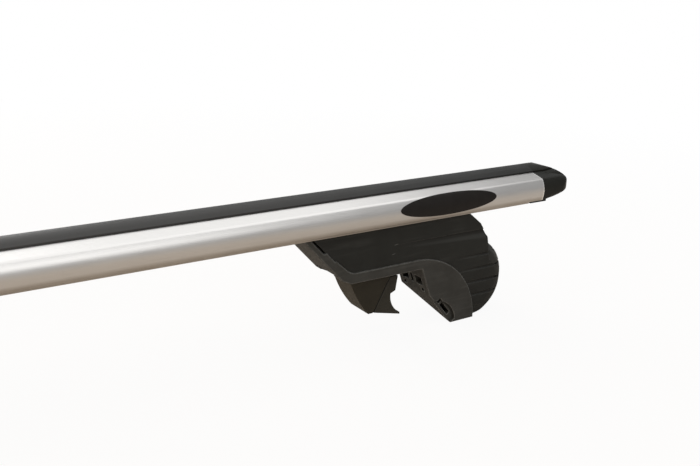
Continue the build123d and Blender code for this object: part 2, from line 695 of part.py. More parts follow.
def slot_nut(reach):
    """The hexagon nut that draws the slot bolt down."""
    z = FOOT_HEIGHT - SADDLE - DECK - BOLT_WASHER - BOLT_NUT / 2
    nut = hexagon(BOLT_NUT_ACROSS, BOLT_NUT) - Cylinder(BOLT_DIAMETER / 2, 2 * BOLT_NUT)
    return Pos(RAIL_X + reach, 0, z) * nut


def seam_points():
    """The slanted seam where the claw is screwed to the inner jaw, top and bottom."""
    return at(-SEAM_TOP_REACH, SEAM_TOP_DROP), at(-SEAM_BASE_REACH, INNER_JAW_DROP)


def open_seam(solid):
    """Chamfers the front and back edges of the seam, so that it shows as a line."""
    top, base = (Vector(*p) for p in seam_points())
    middle = (top + base) / 2
    ends = [Vector(middle.X, side * SLIDE_DEPTH / 2, middle.Y) for side in (1, -1)]
    edges = [solid.edges().sort_by_distance(end)[0] for end in ends]
    return chamfer(edges, SEAM_CHAMFER)


def claw_screw_place(solid, side):
    """Places a solid made along Z on the seam, square to it, at one side of the middle."""
    top, base = (Vector(*p) for p in seam_points())
    along = (base - top).normalized()
    seat = top + along * CLAW_SCREW_DOWN
    origin = (seat.X, side * CLAW_SCREW_SPREAD / 2, seat.Y)
    return Plane(origin=origin, x_dir=(0, 1, 0), z_dir=(-along.Y, 0, along.X)) * solid


def inner_jaw():
    """The sliding inner jaw: a carriage between the side walls, grooved for the rails, over a block."""
    seam_top, seam_base = seam_points()
    toe = at(-TOE_REACH, INNER_JAW_DROP)
    flare = at(-FLARE_REACH, FLARE_DROP)
    back = ThreePointArc(toe, at(-BACK_REACH, BACK_DROP), flare)
    body = Polyline(
        flare, at(-CARRIAGE_IN, LEDGE_RAIL_DROP - LEDGE_RAIL), at(-CARRIAGE_IN, CARRIAGE_TOP),
        at(-CARRIAGE_OUT, CARRIAGE_TOP), at(-CARRIAGE_OUT, BAND_BASE_DROP), seam_top, seam_base, toe,
    )
    jaw = open_seam(through(side_face(back, body), SLIDE_DEPTH / 2))
    groove_drop = LEDGE_RAIL_DROP + LEDGE_RAIL / 2
    groove = Box(4 * FLARE_REACH, LEDGE_BITE + SLIDE_DEPTH, LEDGE_RAIL + 2 * SLIDE_GAP)
    groove_side = PLATE_INNER - LEDGE_BITE - SLIDE_GAP + (LEDGE_BITE + SLIDE_DEPTH) / 2
    for sign in (1, -1):
        jaw -= Pos(RAIL_X, sign * groove_side, FOOT_HEIGHT - groove_drop) * groove
    jaw -= lying_cylinder(SCREW_DIAMETER / 2 + SCREW_CLEARANCE, -FLARE_REACH - OVERCUT, 0, SCREW_DROP)
    x, z = at(-NUT_REACH, SCREW_DROP)
    nut_slot_top = FOOT_HEIGHT - CARRIAGE_TOP + OVERCUT
    nut_slot_base = z - NUT_ACROSS / 2
    slot = Box(NUT_HEIGHT, NUT_ACROSS, nut_slot_top - nut_slot_base)
    jaw -= Pos(x, 0, (nut_slot_top + nut_slot_base) / 2) * slot
    for side in (1, -1):
        hole = Pos(0, 0, -CLAW_SCREW_LENGTH / 2) * Cylinder(CLAW_SCREW_DIAMETER / 2, CLAW_SCREW_LENGTH)
        jaw -= claw_screw_place(hole, side)
    return jaw


def claw_face():
    """The claw's side view: a stepped rail face over a hook whose tip points outboard under the rail."""
    seam_top, seam_base = seam_points()
    throat = at(-CLAW_THROAT_REACH, CLAW_THROAT_DROP)
    tip = at(-CLAW_TIP_REACH, CLAW_TIP_DROP)
    face = Polyline(
        seam_base, seam_top, at(-CLAW_TOP_REACH, SEAM_TOP_DROP), at(-CLAW_LIP_REACH, CLAW_LIP_DROP), throat,
    )
    hook = ThreePointArc(throat, at(-CLAW_HOOK_REACH, CLAW_HOOK_DROP), tip)
    sole = Polyline(tip, at(-CLAW_TIP_REACH, CLAW_TIP_DROP + CLAW_TIP_FLAT), seam_base)
    return side_face(face, hook, sole)


def jaw_claw():
    """The claw that grips the rail's inner side, with two counterbored holes for its screws."""
    claw = open_seam(through(claw_face(), SLIDE_DEPTH / 2))
    hole = Pos(0, 0, CLAW_SCREW_LENGTH / 2) * Cylinder(CLAW_SCREW_DIAMETER / 2, CLAW_SCREW_LENGTH)
    sink = Cylinder(CLAW_SCREW_HEAD / 2, CLAW_SCREW_LENGTH)
    hole += Pos(0, 0, CLAW_SCREW_SEAT + CLAW_SCREW_LENGTH / 2) * sink
    for side in (1, -1):
        claw -= claw_screw_place(hole, side)
    return claw


def claw_screw(side):
    """One socket screw that holds the claw on the inner jaw."""
    shank = Cylinder(CLAW_SCREW_DIAMETER / 2, CLAW_SCREW_LENGTH)
    screw = Pos(0, 0, CLAW_SCREW_SEAT - CLAW_SCREW_LENGTH / 2) * shank
    head = Cylinder(CLAW_SCREW_HEAD / 2 - SLIDE_GAP, CLAW_SCREW_HEAD_HEIGHT)
    screw += Pos(0, 0, CLAW_SCREW_SEAT + CLAW_SCREW_HEAD_HEIGHT / 2) * head
    socket = hexagon(CLAW_SCREW_SOCKET, CLAW_SCREW_HEAD_HEIGHT)
    screw -= Pos(0, 0, CLAW_SCREW_SEAT + CLAW_SCREW_HEAD_HEIGHT) * socket
    return claw_screw_place(screw, side)


def jaw_nut():
    """The square nut that drops into the carriage and runs on the clamp screw."""
    x, z = at(-NUT_REACH, SCREW_DROP)
    nut = Pos(x, 0, z) * Box(NUT_HEIGHT, NUT_ACROSS, NUT_ACROSS)
    bore = SCREW_DIAMETER / 2 + THREAD_FIT
    return nut - lying_cylinder(bore, -NUT_REACH - NUT_HEIGHT, -NUT_REACH + NUT_HEIGHT, SCREW_DROP)


def clamp_screw():
    """The clamp screw: a socket head against the thrust wall and a long shank through the jaw's nut."""
    shank = lying_cylinder(SCREW_DIAMETER / 2, -SCREW_TAIL_REACH, HEAD_REACH, SCREW_DROP)
    shank = chamfer(shank.edges().group_by(Axis.X)[0], SCREW_CHAMFER)
    head = lying_cylinder(SCREW_HEAD_DIAMETER / 2, HEAD_REACH, HEAD_REACH + SCREW_HEAD, SCREW_DROP)
    head = chamfer(head.edges().group_by(Axis.X)[-1], SCREW_CHAMFER)
    x, z = at(HEAD_REACH + SCREW_HEAD - SCREW_SOCKET_DEPTH / 2, SCREW_DROP)
    socket = Pos(x, 0, z) * Rot(0, 90, 0) * hexagon(SCREW_SOCKET, SCREW_SOCKET_DEPTH)
    return shank + head - socket


def screw_ring(diameter, start, thickness):
    """A flat ring round the clamp screw."""
    ring = lying_cylinder(diameter / 2, start, start + thickness, SCREW_DROP)
    return ring - lying_cylinder(SCREW_DIAMETER / 2, start - OVERCUT, start + OVERCUT, SCREW_DROP)


def screw_washer():
    """The thrust washer under the screw's head."""
    return screw_ring(WASHER_DIAMETER, THRUST_FACE, WASHER)


def screw_clip():
    """The open retaining clip that keeps the screw in the thrust wall."""
    ring = screw_ring(CLIP_DIAMETER, THRUST_REACH - CLIP, CLIP)
    x, z = at(THRUST_REACH - CLIP / 2, SCREW_DROP)
    return ring - Pos(x, 0, z - CLIP_DIAMETER / 2) * Box(2 * CLIP, CLIP_OPENING, CLIP_DIAMETER)


def right_foot():
    """Every piece of the right foot, by name."""
    return {
        "foot_base": foot_base(),
        "foot_cover": foot_cover(),
        "saddle_pad": saddle_pad(),
        "slot_bolts": Compound([slot_bolt(reach).solid() for reach in BOLT_REACHES]),
        "slot_washers": Compound([slot_washer(reach).solid() for reach in BOLT_REACHES]),
        "slot_nuts": Compound([slot_nut(reach).solid() for reach in BOLT_REACHES]),
        "inner_jaw": inner_jaw(),
        "jaw_claw": jaw_claw(),
        "claw_screws": Compound([claw_screw(side).solid() for side in (1, -1)]),
        "jaw_nut": jaw_nut(),
        "clamp_screw": clamp_screw(),
        "screw_washer": screw_washer(),
        "screw_clip": screw_clip(),
    }


pieces = {
    "bar_extrusion": bar_extrusion(),
    "top_slot_strip": top_slot_strip(),
    "badge_oval": badge_oval(),
}
for name, solid in {"end_cap": end_cap(), **right_foot()}.items():
    pieces[name + "_right"] = solid
    pieces[name + "_left"] = mirror(solid, about=Plane.YZ)

os.makedirs("parts", exist_ok=True)
for name, solid in pieces.items():
    export_step(solid, os.path.join("parts", name + ".step"))
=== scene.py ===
import math

import bmesh
import bpy
from mathutils import Matrix, Vector


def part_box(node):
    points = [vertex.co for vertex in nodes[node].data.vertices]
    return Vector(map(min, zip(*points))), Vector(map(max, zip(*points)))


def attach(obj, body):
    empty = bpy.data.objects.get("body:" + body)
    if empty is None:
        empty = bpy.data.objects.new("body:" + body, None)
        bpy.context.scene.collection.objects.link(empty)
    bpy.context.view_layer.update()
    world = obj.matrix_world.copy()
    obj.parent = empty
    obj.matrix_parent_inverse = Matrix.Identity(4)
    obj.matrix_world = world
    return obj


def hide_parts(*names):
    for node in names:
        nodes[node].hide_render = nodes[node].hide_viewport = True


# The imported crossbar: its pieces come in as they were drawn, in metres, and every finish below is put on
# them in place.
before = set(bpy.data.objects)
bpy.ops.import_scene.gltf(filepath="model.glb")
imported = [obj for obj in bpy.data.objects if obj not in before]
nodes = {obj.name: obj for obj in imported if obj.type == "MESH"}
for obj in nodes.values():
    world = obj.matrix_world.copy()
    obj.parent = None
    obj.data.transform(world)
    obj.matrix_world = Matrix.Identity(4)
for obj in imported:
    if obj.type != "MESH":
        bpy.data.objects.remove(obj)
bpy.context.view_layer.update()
SIDES = ("right", "left")


# Bar: one aluminium extrusion, satin anodised. The die leaves long faint lines along it, and handling
# leaves soft cloudy marks in the satin.
BAR_SILVER = (0.53, 0.525, 0.518)
BAR_SILVER_DULL = (0.50, 0.493, 0.484)
# A pale band round the cut ends: partly bare cut metal, partly a painted highlight along the end edges.
BAR_CUT_METAL_AND_GLINT = (0.93, 0.93, 0.92)
BAR_CUT_WIDTH = 0.0011
# Painted shade: darker in the bar's occluded corners, and darker towards its lower edge, unevenly along it.
BAR_CORNER_SHADE = (0.30, 0.275, 0.245)
BAR_SHADE_REACH = 0.002
BAR_LOWER_SHADE_HEIGHTS = (0.1046, 0.1016)
BAR_LOWER_SHADE_COLOUR = (0.31, 0.285, 0.255)
BAR_LOWER_SHADE_UNEVEN = (1.0, 0.7)
BAR_SATIN = (0.31, 0.36)
BAR_LINES_PER_METRE = 2600.0
BAR_LINE_STRETCH = 40.0
BAR_LINE_DEPTH = 0.000004
BAR_CLOUDS_PER_METRE = 16.0
BAR_EDGE_ROUND = 0.0011
LINE_TONE_SPREAD = (0.7, 1.3)
EDGE_BEND = (0.998, 0.88)
EDGE_PATCHES = (0.25, 0.5)
EDGE_SAMPLES = 6
CORNER_REACH = 0.003
CORNER_OPEN = (0.92, 0.5)
CORNER_SAMPLES = 8
SHARP_EDGE = 38.0
JOIN_WITHIN = 0.00001


def add_node(tree, kind, **settings):
    """A new node with some of its settings."""
    made = tree.nodes.new(kind)
    for name, value in settings.items():
        setattr(made, name, value)
    return made


def joined(tree, kind, inputs, **settings):
    """A new node with each named or numbered input linked to a socket or set to a value."""
    made = add_node(tree, kind, **settings)
    for key, value in inputs.items():
        if isinstance(value, bpy.types.NodeSocket):
            tree.links.new(value, made.inputs[key])
        else:
            made.inputs[key].default_value = value
    return made


def worked_out(tree, operation, first, second):
    """A math node on two sockets, or on a socket and a number."""
    return joined(tree, "ShaderNodeMath", {0: first, 1: second}, operation=operation).outputs["Value"]


def ranged(tree, value, low, high, start=0.0, end=1.0):
    """A value taken from one range to another and held at its ends."""
    ends = {"Value": value, "From Min": low, "From Max": high, "To Min": start, "To Max": end}
    return joined(tree, "ShaderNodeMapRange", ends).outputs["Result"]


def new_group(name, numbers, outputs):
    """An empty shader node group with number inputs, and outputs given as name and socket type."""
    group = bpy.data.node_groups.new(name, "ShaderNodeTree")
    for label, value in numbers.items():
        socket = group.interface.new_socket(label, in_out="INPUT", socket_type="NodeSocketFloat")
        socket.default_value = value
    for label, kind in outputs.items():
        group.interface.new_socket(label, in_out="OUTPUT", socket_type=kind)
    return group, group.nodes.new("NodeGroupInput").outputs, group.nodes.new("NodeGroupOutput").inputs


def place_group(tree, group, **numbers):
    """The group as a node in a material, with its own values."""
    made = add_node(tree, "ShaderNodeGroup", node_tree=group)
    for label, value in numbers.items():
        made.inputs[label.replace("_", " ").capitalize()].default_value = value
    return made.outputs


def piece_place(tree):
    """Where a point lies on its piece, as X, Y and Z."""
    place = add_node(tree, "ShaderNodeTexCoord").outputs["Object"]
    return joined(tree, "ShaderNodeSeparateXYZ", {"Vector": place}).outputs


def object_noise(tree, scale, detail, roughness=0.5):
    """Noise that is fixed to the piece, at a scale in grains per metre."""
    place = add_node(tree, "ShaderNodeTexCoord").outputs["Object"]
    inputs = {"Vector": place, "Scale": scale, "Detail": detail, "Roughness": roughness}
    return joined(tree, "ShaderNodeTexNoise", inputs).outputs["Fac"]


def drawn_noise(tree, fineness, stretch, detail):
    """Noise drawn out along X by the stretch, as fine across as the fineness in lines per metre."""
    place = add_node(tree, "ShaderNodeTexCoord").outputs["Object"]
    along = worked_out(tree, "DIVIDE", fineness, stretch)
    scale = joined(tree, "ShaderNodeCombineXYZ", {"X": along, "Y": fineness, "Z": fineness}).outputs["Vector"]
    drawn = joined(tree, "ShaderNodeVectorMath", {0: place, 1: scale}, operation="MULTIPLY").outputs["Vector"]
    inputs = {"Vector": drawn, "Scale": 1.0, "Detail": detail}
    return joined(tree, "ShaderNodeTexNoise", inputs).outputs["Fac"]


def extrusion_lines_group():
    """Lines along X as a die leaves them, and a tone of lines and soft clouds together."""
    group, given, out = new_group(
        "extrusion_lines", {"Fineness": 1000.0, "Stretch": 10.0, "Clouds": 10.0},
        {"Height": "NodeSocketFloat", "Tone": "NodeSocketFloat"})
    lines = drawn_noise(group, given["Fineness"], given["Stretch"], detail=2.0)
    clouds = object_noise(group, given["Clouds"], detail=4.0, roughness=0.6)
    both = worked_out(group, "ADD", lines, clouds)
    group.links.new(lines, out["Height"])
    group.links.new(ranged(group, both, *LINE_TONE_SPREAD), out["Tone"])
    return group


def rounded_edges_group():
    """The rounded normal of an edge, and a broken mask along edges: partly wear, partly a painted highlight.
    """
    group, given, out = new_group(
        "rounded_edges", {"Radius": 0.0006, "Rub": 1.0, "Patches": 260.0},
        {"Normal": "NodeSocketVector", "Mask": "NodeSocketFloat"})
    bevel = joined(group, "ShaderNodeBevel", {"Radius": given["Radius"]}, samples=EDGE_SAMPLES)
    soft = bevel.outputs["Normal"]
    flat = add_node(group, "ShaderNodeNewGeometry").outputs["Normal"]
    normals = {0: soft, 1: flat}
    agree = joined(group, "ShaderNodeVectorMath", normals, operation="DOT_PRODUCT").outputs["Value"]
    edge = ranged(group, agree, *EDGE_BEND)
    worn_and_lit_edge = ranged(group, object_noise(group, given["Patches"], detail=3.0), *EDGE_PATCHES)
    # The pale edge mask: partly wear, partly a painted highlight along the edges.
    broken = worked_out(group, "MULTIPLY", edge, worn_and_lit_edge)
    group.links.new(soft, out["Normal"])
    group.links.new(worked_out(group, "MULTIPLY", broken, given["Rub"]), out["Mask"])
    return group


def shade_mask_group(name, own):
    """A mask of painted shade in the occluded corners: those of the piece alone, or with its neighbours."""
    group, given, out = new_group(
        name, {"Reach": CORNER_REACH, "Clean": CORNER_OPEN[0], "Caked": CORNER_OPEN[1]},
        {"Mask": "NodeSocketFloat"})
    corner = joined(group, "ShaderNodeAmbientOcclusion", {"Distance": given["Reach"]},
                    samples=CORNER_SAMPLES, only_local=own)
    group.links.new(ranged(group, corner.outputs["AO"], given["Clean"], given["Caked"]), out["Mask"])
    return group


extrusion_lines = extrusion_lines_group()
rounded_edges = rounded_edges_group()
corner_shade = shade_mask_group("corner_shade", own=True)


def new_finish(name, tone_of, satin):
    """A material with its Principled shader. Its roughness runs between two values with the tone."""
    material = bpy.data.materials.new(name)
    material.use_nodes = True
    tree = material.node_tree
    shader = tree.nodes["Principled BSDF"]
    outputs = tone_of(tree)
    rough = ranged(tree, outputs["Tone"], 0.0, 1.0, *satin)
    tree.links.new(rough, shader.inputs["Roughness"])
    return material, tree, shader, outputs


def mixed_colour(tree, mask, low, high):
    """A colour between two colours by a mask from 0 to 1. Each is a socket or a plain colour."""
    inputs = {"Factor": mask, "A": low, "B": high}
    inputs = {key: (*value, 1.0) if isinstance(value, tuple) else value for key, value in inputs.items()}
    mix = add_node(tree, "ShaderNodeMix", data_type="RGBA")
    tree.links.new(inputs["Factor"], mix.inputs["Factor"])
    for socket in (mix.inputs[6], mix.inputs[7]):
        value = inputs[socket.name]
        if isinstance(value, tuple):
            socket.default_value = value
        else:
            tree.links.new(value, socket)
    return mix.outputs[2]


def relief(tree, shader, height, depth, edge):
    """Bumps the shader by a height and its depth in metres, over the rounded edges."""
    inputs = {"Strength": 1.0, "Distance": depth, "Height": height, "Normal": edge["Normal"]}
    bump = joined(tree, "ShaderNodeBump", inputs)
    tree.links.new(bump.outputs["Normal"], shader.inputs["Normal"])


def even_shading_group():
    """Joins a CAD mesh along the borders of its faces and keeps only its steep edges sharp."""
    group = bpy.data.node_groups.new("even_shading", "GeometryNodeTree")
    group.interface.new_socket("Geometry", in_out="INPUT", socket_type="NodeSocketGeometry")
    group.interface.new_socket("Geometry", in_out="OUTPUT", socket_type="NodeSocketGeometry")
    shape = group.nodes.new("NodeGroupInput").outputs["Geometry"]
    out = group.nodes.new("NodeGroupOutput").inputs["Geometry"]
    merged = joined(group, "GeometryNodeMergeByDistance", {"Geometry": shape, "Distance": JOIN_WITHIN})
    inputs = {"Geometry": merged.outputs["Geometry"], "Name": "custom_normal"}
    bare = joined(group, "GeometryNodeRemoveAttribute", inputs)
    inputs = {"Geometry": bare.outputs["Geometry"]}
    smooth = joined(group, "GeometryNodeSetShadeSmooth", inputs, domain="FACE")
    angle = add_node(group, "GeometryNodeInputMeshEdgeAngle").outputs["Unsigned Angle"]
    inputs = {0: angle, 1: math.radians(SHARP_EDGE)}
    steep = joined(group, "FunctionNodeCompare", inputs, operation="GREATER_THAN")
    inputs = {"Selection": steep.outputs["Result"], "Shade Smooth": False}
    inputs["Geometry"] = smooth.outputs["Geometry"]
    sharp = joined(group, "GeometryNodeSetShadeSmooth", inputs, domain="EDGE")
    group.links.new(sharp.outputs["Geometry"], out)
    return group


even_shading = even_shading_group()


def finished(piece, material):
    """Puts the material on a piece, whose faces are joined and shaded evenly over its soft edges."""
    piece.data.materials.clear()
    piece.data.materials.append(material)
    joint = piece.modifiers.new("joined_faces", "NODES")
    joint.node_group = even_shading
    weighted = piece.modifiers.new("even_normals", "WEIGHTED_NORMAL")
    weighted.keep_sharp = True


def put_on(material, *names):
    """The material on these CAD nodes."""
    for name in names:
        finished(nodes[name], material)


def bar_lines(tree):
    """The bar's own lines and clouds."""
    return place_group(tree, extrusion_lines, fineness=BAR_LINES_PER_METRE, stretch=BAR_LINE_STRETCH,
                       clouds=BAR_CLOUDS_PER_METRE)


anodised, tree, shader, lines = new_finish("satin_anodised_aluminium", bar_lines, BAR_SATIN)
edge = place_group(tree, rounded_edges, radius=BAR_EDGE_ROUND)
silver = mixed_colour(tree, lines["Tone"], BAR_SILVER_DULL, BAR_SILVER)
bar_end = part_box("bar_extrusion")[1][0]
spot = piece_place(tree)
reach = worked_out(tree, "ABSOLUTE", spot["X"], 0.0)
# The cut ends: bare cut metal with a painted highlight along their edges.
sawn_glint = ranged(tree, reach, bar_end - BAR_CUT_WIDTH, bar_end - BAR_CUT_WIDTH / 2)
# Painted shade in the occluded corners, then towards the lower edge.
shaded_silver = mixed_colour(tree, place_group(tree, corner_shade, reach=BAR_SHADE_REACH)["Mask"], silver, BAR_CORNER_SHADE)
uneven = ranged(tree, lines["Tone"], 0.0, 1.0, *BAR_LOWER_SHADE_UNEVEN)
lower_shade = worked_out(tree, "MULTIPLY", ranged(tree, spot["Z"], *BAR_LOWER_SHADE_HEIGHTS), uneven)
shaded_silver = mixed_colour(tree, lower_shade, shaded_silver, BAR_LOWER_SHADE_COLOUR)
tree.links.new(mixed_colour(tree, sawn_glint, shaded_silver, BAR_CUT_METAL_AND_GLINT), shader.inputs["Base Color"])
relief(tree, shader, lines["Height"], BAR_LINE_DEPTH, edge)
shader.inputs["Metallic"].default_value = 1.0
put_on(anodised, "bar_extrusion")


# Strip: a run of dark grey rubber pressed into the top slot. Its domed top is matt, with the faint lines of
# its own extrusion, and painted lighter along the middle of the bar and darker towards the ends, as painted
# light and shade.
STRIP_GREY = (0.0215, 0.0223, 0.0221)
STRIP_GREY_DEEP = (0.0165, 0.0172, 0.017)
STRIP_MATT = (0.5, 0.62)
STRIP_LINES_PER_METRE = 900.0
STRIP_LINE_STRETCH = 60.0
STRIP_LINE_DEPTH = 0.00003
STRIP_CLOUDS_PER_METRE = 40.0
STRIP_GLOSS = 0.2
STRIP_EDGE_ROUND = 0.0004
# Painted light towards the middle of the bar and painted shade towards its ends, over the grey in patches.
STRIP_PAINTED_LIGHT = (0.046, 0.0455, 0.0445)
STRIP_PAINTED_SHADE = (0.009, 0.0094, 0.0093)
STRIP_LIGHT_RUN = (0.58, 0.12)
STRIP_LIGHT_COVER = (0.75, 0.95)


def strip_lines(tree):
    """The strip's own lines and dust."""
    return place_group(tree, extrusion_lines, fineness=STRIP_LINES_PER_METRE, stretch=STRIP_LINE_STRETCH,
                       clouds=STRIP_CLOUDS_PER_METRE)


strip_rubber, tree, shader, lines = new_finish("slot_strip_rubber", strip_lines, STRIP_MATT)
edge = place_group(tree, rounded_edges, radius=STRIP_EDGE_ROUND)
# Painted light and shade along the strip: lighter towards the middle of the bar, darker towards the ends.
lit_share = ranged(tree, worked_out(tree, "ABSOLUTE", piece_place(tree)["X"], 0.0), *STRIP_LIGHT_RUN)
grey = mixed_colour(tree, lines["Tone"], STRIP_GREY_DEEP, STRIP_GREY)
painted_shading = mixed_colour(tree, lit_share, STRIP_PAINTED_SHADE, STRIP_PAINTED_LIGHT)
light_cover = ranged(tree, lines["Tone"], 0.0, 1.0, *STRIP_LIGHT_COVER)
tree.links.new(mixed_colour(tree, light_cover, grey, painted_shading), shader.inputs["Base Color"])
relief(tree, shader, lines["Height"], STRIP_LINE_DEPTH, edge)
shader.inputs["Specular IOR Level"].default_value = STRIP_GLOSS
put_on(strip_rubber, "top_slot_strip")


# End caps: tapered black mouldings of fine-grained plastic with a soft gloss, pushed into the bar's chambers.
# Their noses are full and rounded off all round.
CAP_BLACK = (0.0075, 0.008, 0.0068)
CAP_BLACK_LIGHT = (0.012, 0.0125, 0.0108)
# Pale edges, partly wear and partly a painted highlight, and painted shade in the cap's corners.
CAP_WORN_AND_LIT_EDGE = (0.04, 0.04, 0.037)
CAP_CORNER_SHADE = (0.005, 0.005, 0.0045)
CAP_HALF_WIDTH = 0.028
CAP_CORNER = 0.014
CAP_TOP = 0.128
CAP_TOP_BEND = (0.0792, -11.458)
CAP_BASE = 0.1
CAP_BASE_RISE = 0.222
CAP_SQUARENESS = (3.6, 9.0)
CAP_ROUND_RUN = (0.1, 0.8)
CAP_CLOSE_FROM = 0.5
CAP_CLOSE = (0.3, 0.08)
CAP_FULLER = (0.2, 0.17)
CAP_FULLER_RUN = ((0.36, 0.85), (0.1, 0.75))
CAP_CORE = 0.01
CAP_FINENESS = 0.0016
CAP_CUTS = 5
SKIN_TONE_SPREAD = (0.3, 0.7)
SCUFF_STREAKS = (0.5, 0.72)
SCUFF_PATCHES = (0.42, 0.68)


def moulded_grain_group():
    """The fine spark grain of a plastic mould, and the uneven tone of its skin."""
    group, given, out = new_group(
        "moulded_grain", {"Fineness": 1500.0, "Patches": 45.0},
        {"Height": "NodeSocketFloat", "Tone": "NodeSocketFloat"})
    place = add_node(group, "ShaderNodeTexCoord").outputs["Object"]
    inputs = {"Vector": place, "Scale": given["Fineness"]}
    pits = joined(group, "ShaderNodeTexVoronoi", inputs, feature="SMOOTH_F1").outputs["Distance"]
    patches = object_noise(group, given["Patches"], detail=5.0, roughness=0.62)
    group.links.new(pits, out["Height"])
    group.links.new(ranged(group, patches, *SKIN_TONE_SPREAD), out["Tone"])
    return group


def handling_scuffs_group():
    """Pale streaks along X that wiping and handling leave, in patches."""
    group, given, out = new_group(
        "handling_scuffs", {"Fineness": 240.0, "Stretch": 16.0, "Patches": 34.0}, {"Mask": "NodeSocketFloat"})
    drawn = drawn_noise(group, given["Fineness"], given["Stretch"], detail=3.0)
    streaks = ranged(group, drawn, *SCUFF_STREAKS)
    patches = ranged(group, object_noise(group, given["Patches"], detail=2.0), *SCUFF_PATCHES)
    group.links.new(worked_out(group, "MULTIPLY", streaks, patches), out["Mask"])
    return group


moulded_grain = moulded_grain_group()
handling_scuffs = handling_scuffs_group()


def moulded_plastic(name, dark, light, worn_and_lit_edge, satin, grain, grain_depth, gloss, edge_round, rub, scuffs,
                    shade_colour, marks=None, corners=corner_shade, reach=CORNER_REACH, openness=CORNER_OPEN):
    """A moulded plastic: an uneven grained skin, streaks of handling, painted shade in its corners, and pale
    edges that are partly wear and partly a painted highlight.
    """
    material, tree, shader, skin = new_finish(
        name, lambda tree: place_group(tree, moulded_grain, fineness=grain), satin)
    edge = place_group(tree, rounded_edges, radius=edge_round, rub=rub)
    streaks = worked_out(tree, "MULTIPLY", place_group(tree, handling_scuffs)["Mask"], scuffs)
    pale_marks = worked_out(tree, "MAXIMUM", edge["Mask"], streaks)
    if marks:
        pale_marks = worked_out(tree, "MAXIMUM", pale_marks, marks(tree))
    body = mixed_colour(tree, skin["Tone"], dark, light)
    # Painted shade: the colour turns to the shade colour where the corners are occluded.
    clean, caked = openness
    painted_shading = place_group(tree, corners, reach=reach, clean=clean, caked=caked)["Mask"]
    with_painted_shade = mixed_colour(tree, painted_shading, mixed_colour(tree, pale_marks, body, worn_and_lit_edge), shade_colour)
    tree.links.new(with_painted_shade, shader.inputs["Base Color"])
    relief(tree, shader, skin["Height"], grain_depth, edge)
    shader.inputs["Specular IOR Level"].default_value = gloss
    return material


cap_plastic = moulded_plastic(
    "end_cap_plastic", CAP_BLACK, CAP_BLACK_LIGHT, CAP_WORN_AND_LIT_EDGE, satin=(0.36, 0.5), grain=2200.0,
    grain_depth=0.00003, gloss=0.1, edge_round=0.0008, rub=0.5, scuffs=0.12, shade_colour=CAP_CORNER_SHADE)


def softly(share, start, end):
    """Runs from 0 to 1 between two shares, smoothly at both ends."""
    rise = min(max((share - start) / (end - start), 0.0), 1.0)
    return rise * rise * (3 - 2 * rise)


def rounded_nose(place, joint, tip):
    """Where a point of the cap goes when the edges of its nose are rounded off all round."""
    run = abs(place.x) - joint
    share = run / (tip - joint)
    half_width = CAP_HALF_WIDTH
    corner_run = abs(place.x) - (tip - CAP_CORNER)
    if corner_run > 0:
        half_width += (CAP_CORNER ** 2 - min(corner_run, CAP_CORNER) ** 2) ** 0.5 - CAP_CORNER
    top = CAP_TOP + CAP_TOP_BEND[0] * run + CAP_TOP_BEND[1] * run * run
    base = CAP_BASE + CAP_BASE_RISE * run
    middle = (top + base) / 2
    across = abs(place.y) / half_width
    upward = abs(place.z - middle) / ((top - base) / 2)
    most = max(across, upward)
    if most < CAP_CORE:
        return place
    half = 0 if place.z > middle else 1
    full = (across ** CAP_SQUARENESS[half] + upward ** CAP_SQUARENESS[half]) ** (1 / CAP_SQUARENESS[half])
    inward = 1 + (most / full - 1) * softly(share, *CAP_ROUND_RUN)
    close = max(share - CAP_CLOSE_FROM, 0.0) / (1 - CAP_CLOSE_FROM)
    closing = (1 - CAP_CLOSE[half] * min(close, 1.0) ** 2) ** 0.5
    fuller = 1 + CAP_FULLER[half] * softly(share, *CAP_FULLER_RUN[half])
    return Vector((place.x, place.y * inward, middle + (place.z - middle) * inward * closing * fuller))


def soft_cap(side):
    """The cap of one end, from the right one's CAD mesh, cut finer over the nose and rounded there."""
    mesh = nodes["end_cap_right"].data.copy()
    mesh.name = "soft_cap_" + side
    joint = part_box("bar_extrusion")[1][0]
    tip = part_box("end_cap_right")[1][0]
    shape = bmesh.new()
    shape.from_mesh(mesh)
    bmesh.ops.remove_doubles(shape, verts=shape.verts, dist=JOIN_WITHIN)
    for step in range(CAP_CUTS):
        nose = [edge for edge in shape.edges
                if min(abs(end.co.x) for end in edge.verts) > joint - JOIN_WITHIN]
        long = [edge for edge in nose if edge.calc_length() > CAP_FINENESS]
        bmesh.ops.subdivide_edges(shape, edges=long, cuts=1)
        bmesh.ops.triangulate(shape, faces=shape.faces)
    for point in shape.verts:
        if abs(point.co.x) > joint + JOIN_WITHIN:
            point.co = rounded_nose(point.co, joint, tip)
    bmesh.ops.dissolve_degenerate(shape, edges=shape.edges, dist=JOIN_WITHIN)
    bmesh.ops.triangulate(shape, faces=shape.faces)
    if side == "left":
        bmesh.ops.scale(shape, vec=(-1, 1, 1), verts=shape.verts)
        bmesh.ops.reverse_faces(shape, faces=shape.faces)
    shape.to_mesh(mesh)
    shape.free()
    cap = bpy.data.objects.new("soft_cap_" + side, mesh)
    bpy.context.scene.collection.objects.link(cap)
    finished(cap, cap_plastic)
    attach(cap, "bar")
    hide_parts("end_cap_" + side)


for side in SIDES:
    soft_cap(side)


# Badge plate: a thin oval of satin black plastic, glued to the bulge of the front face. It is cut as an
# ellipse from flat sheet and bent to the bar, so its top just follows the shoulder.
BADGE_BLACK = (0.009, 0.008, 0.0075)
BADGE_BLACK_LIGHT = (0.014, 0.0125, 0.0118)
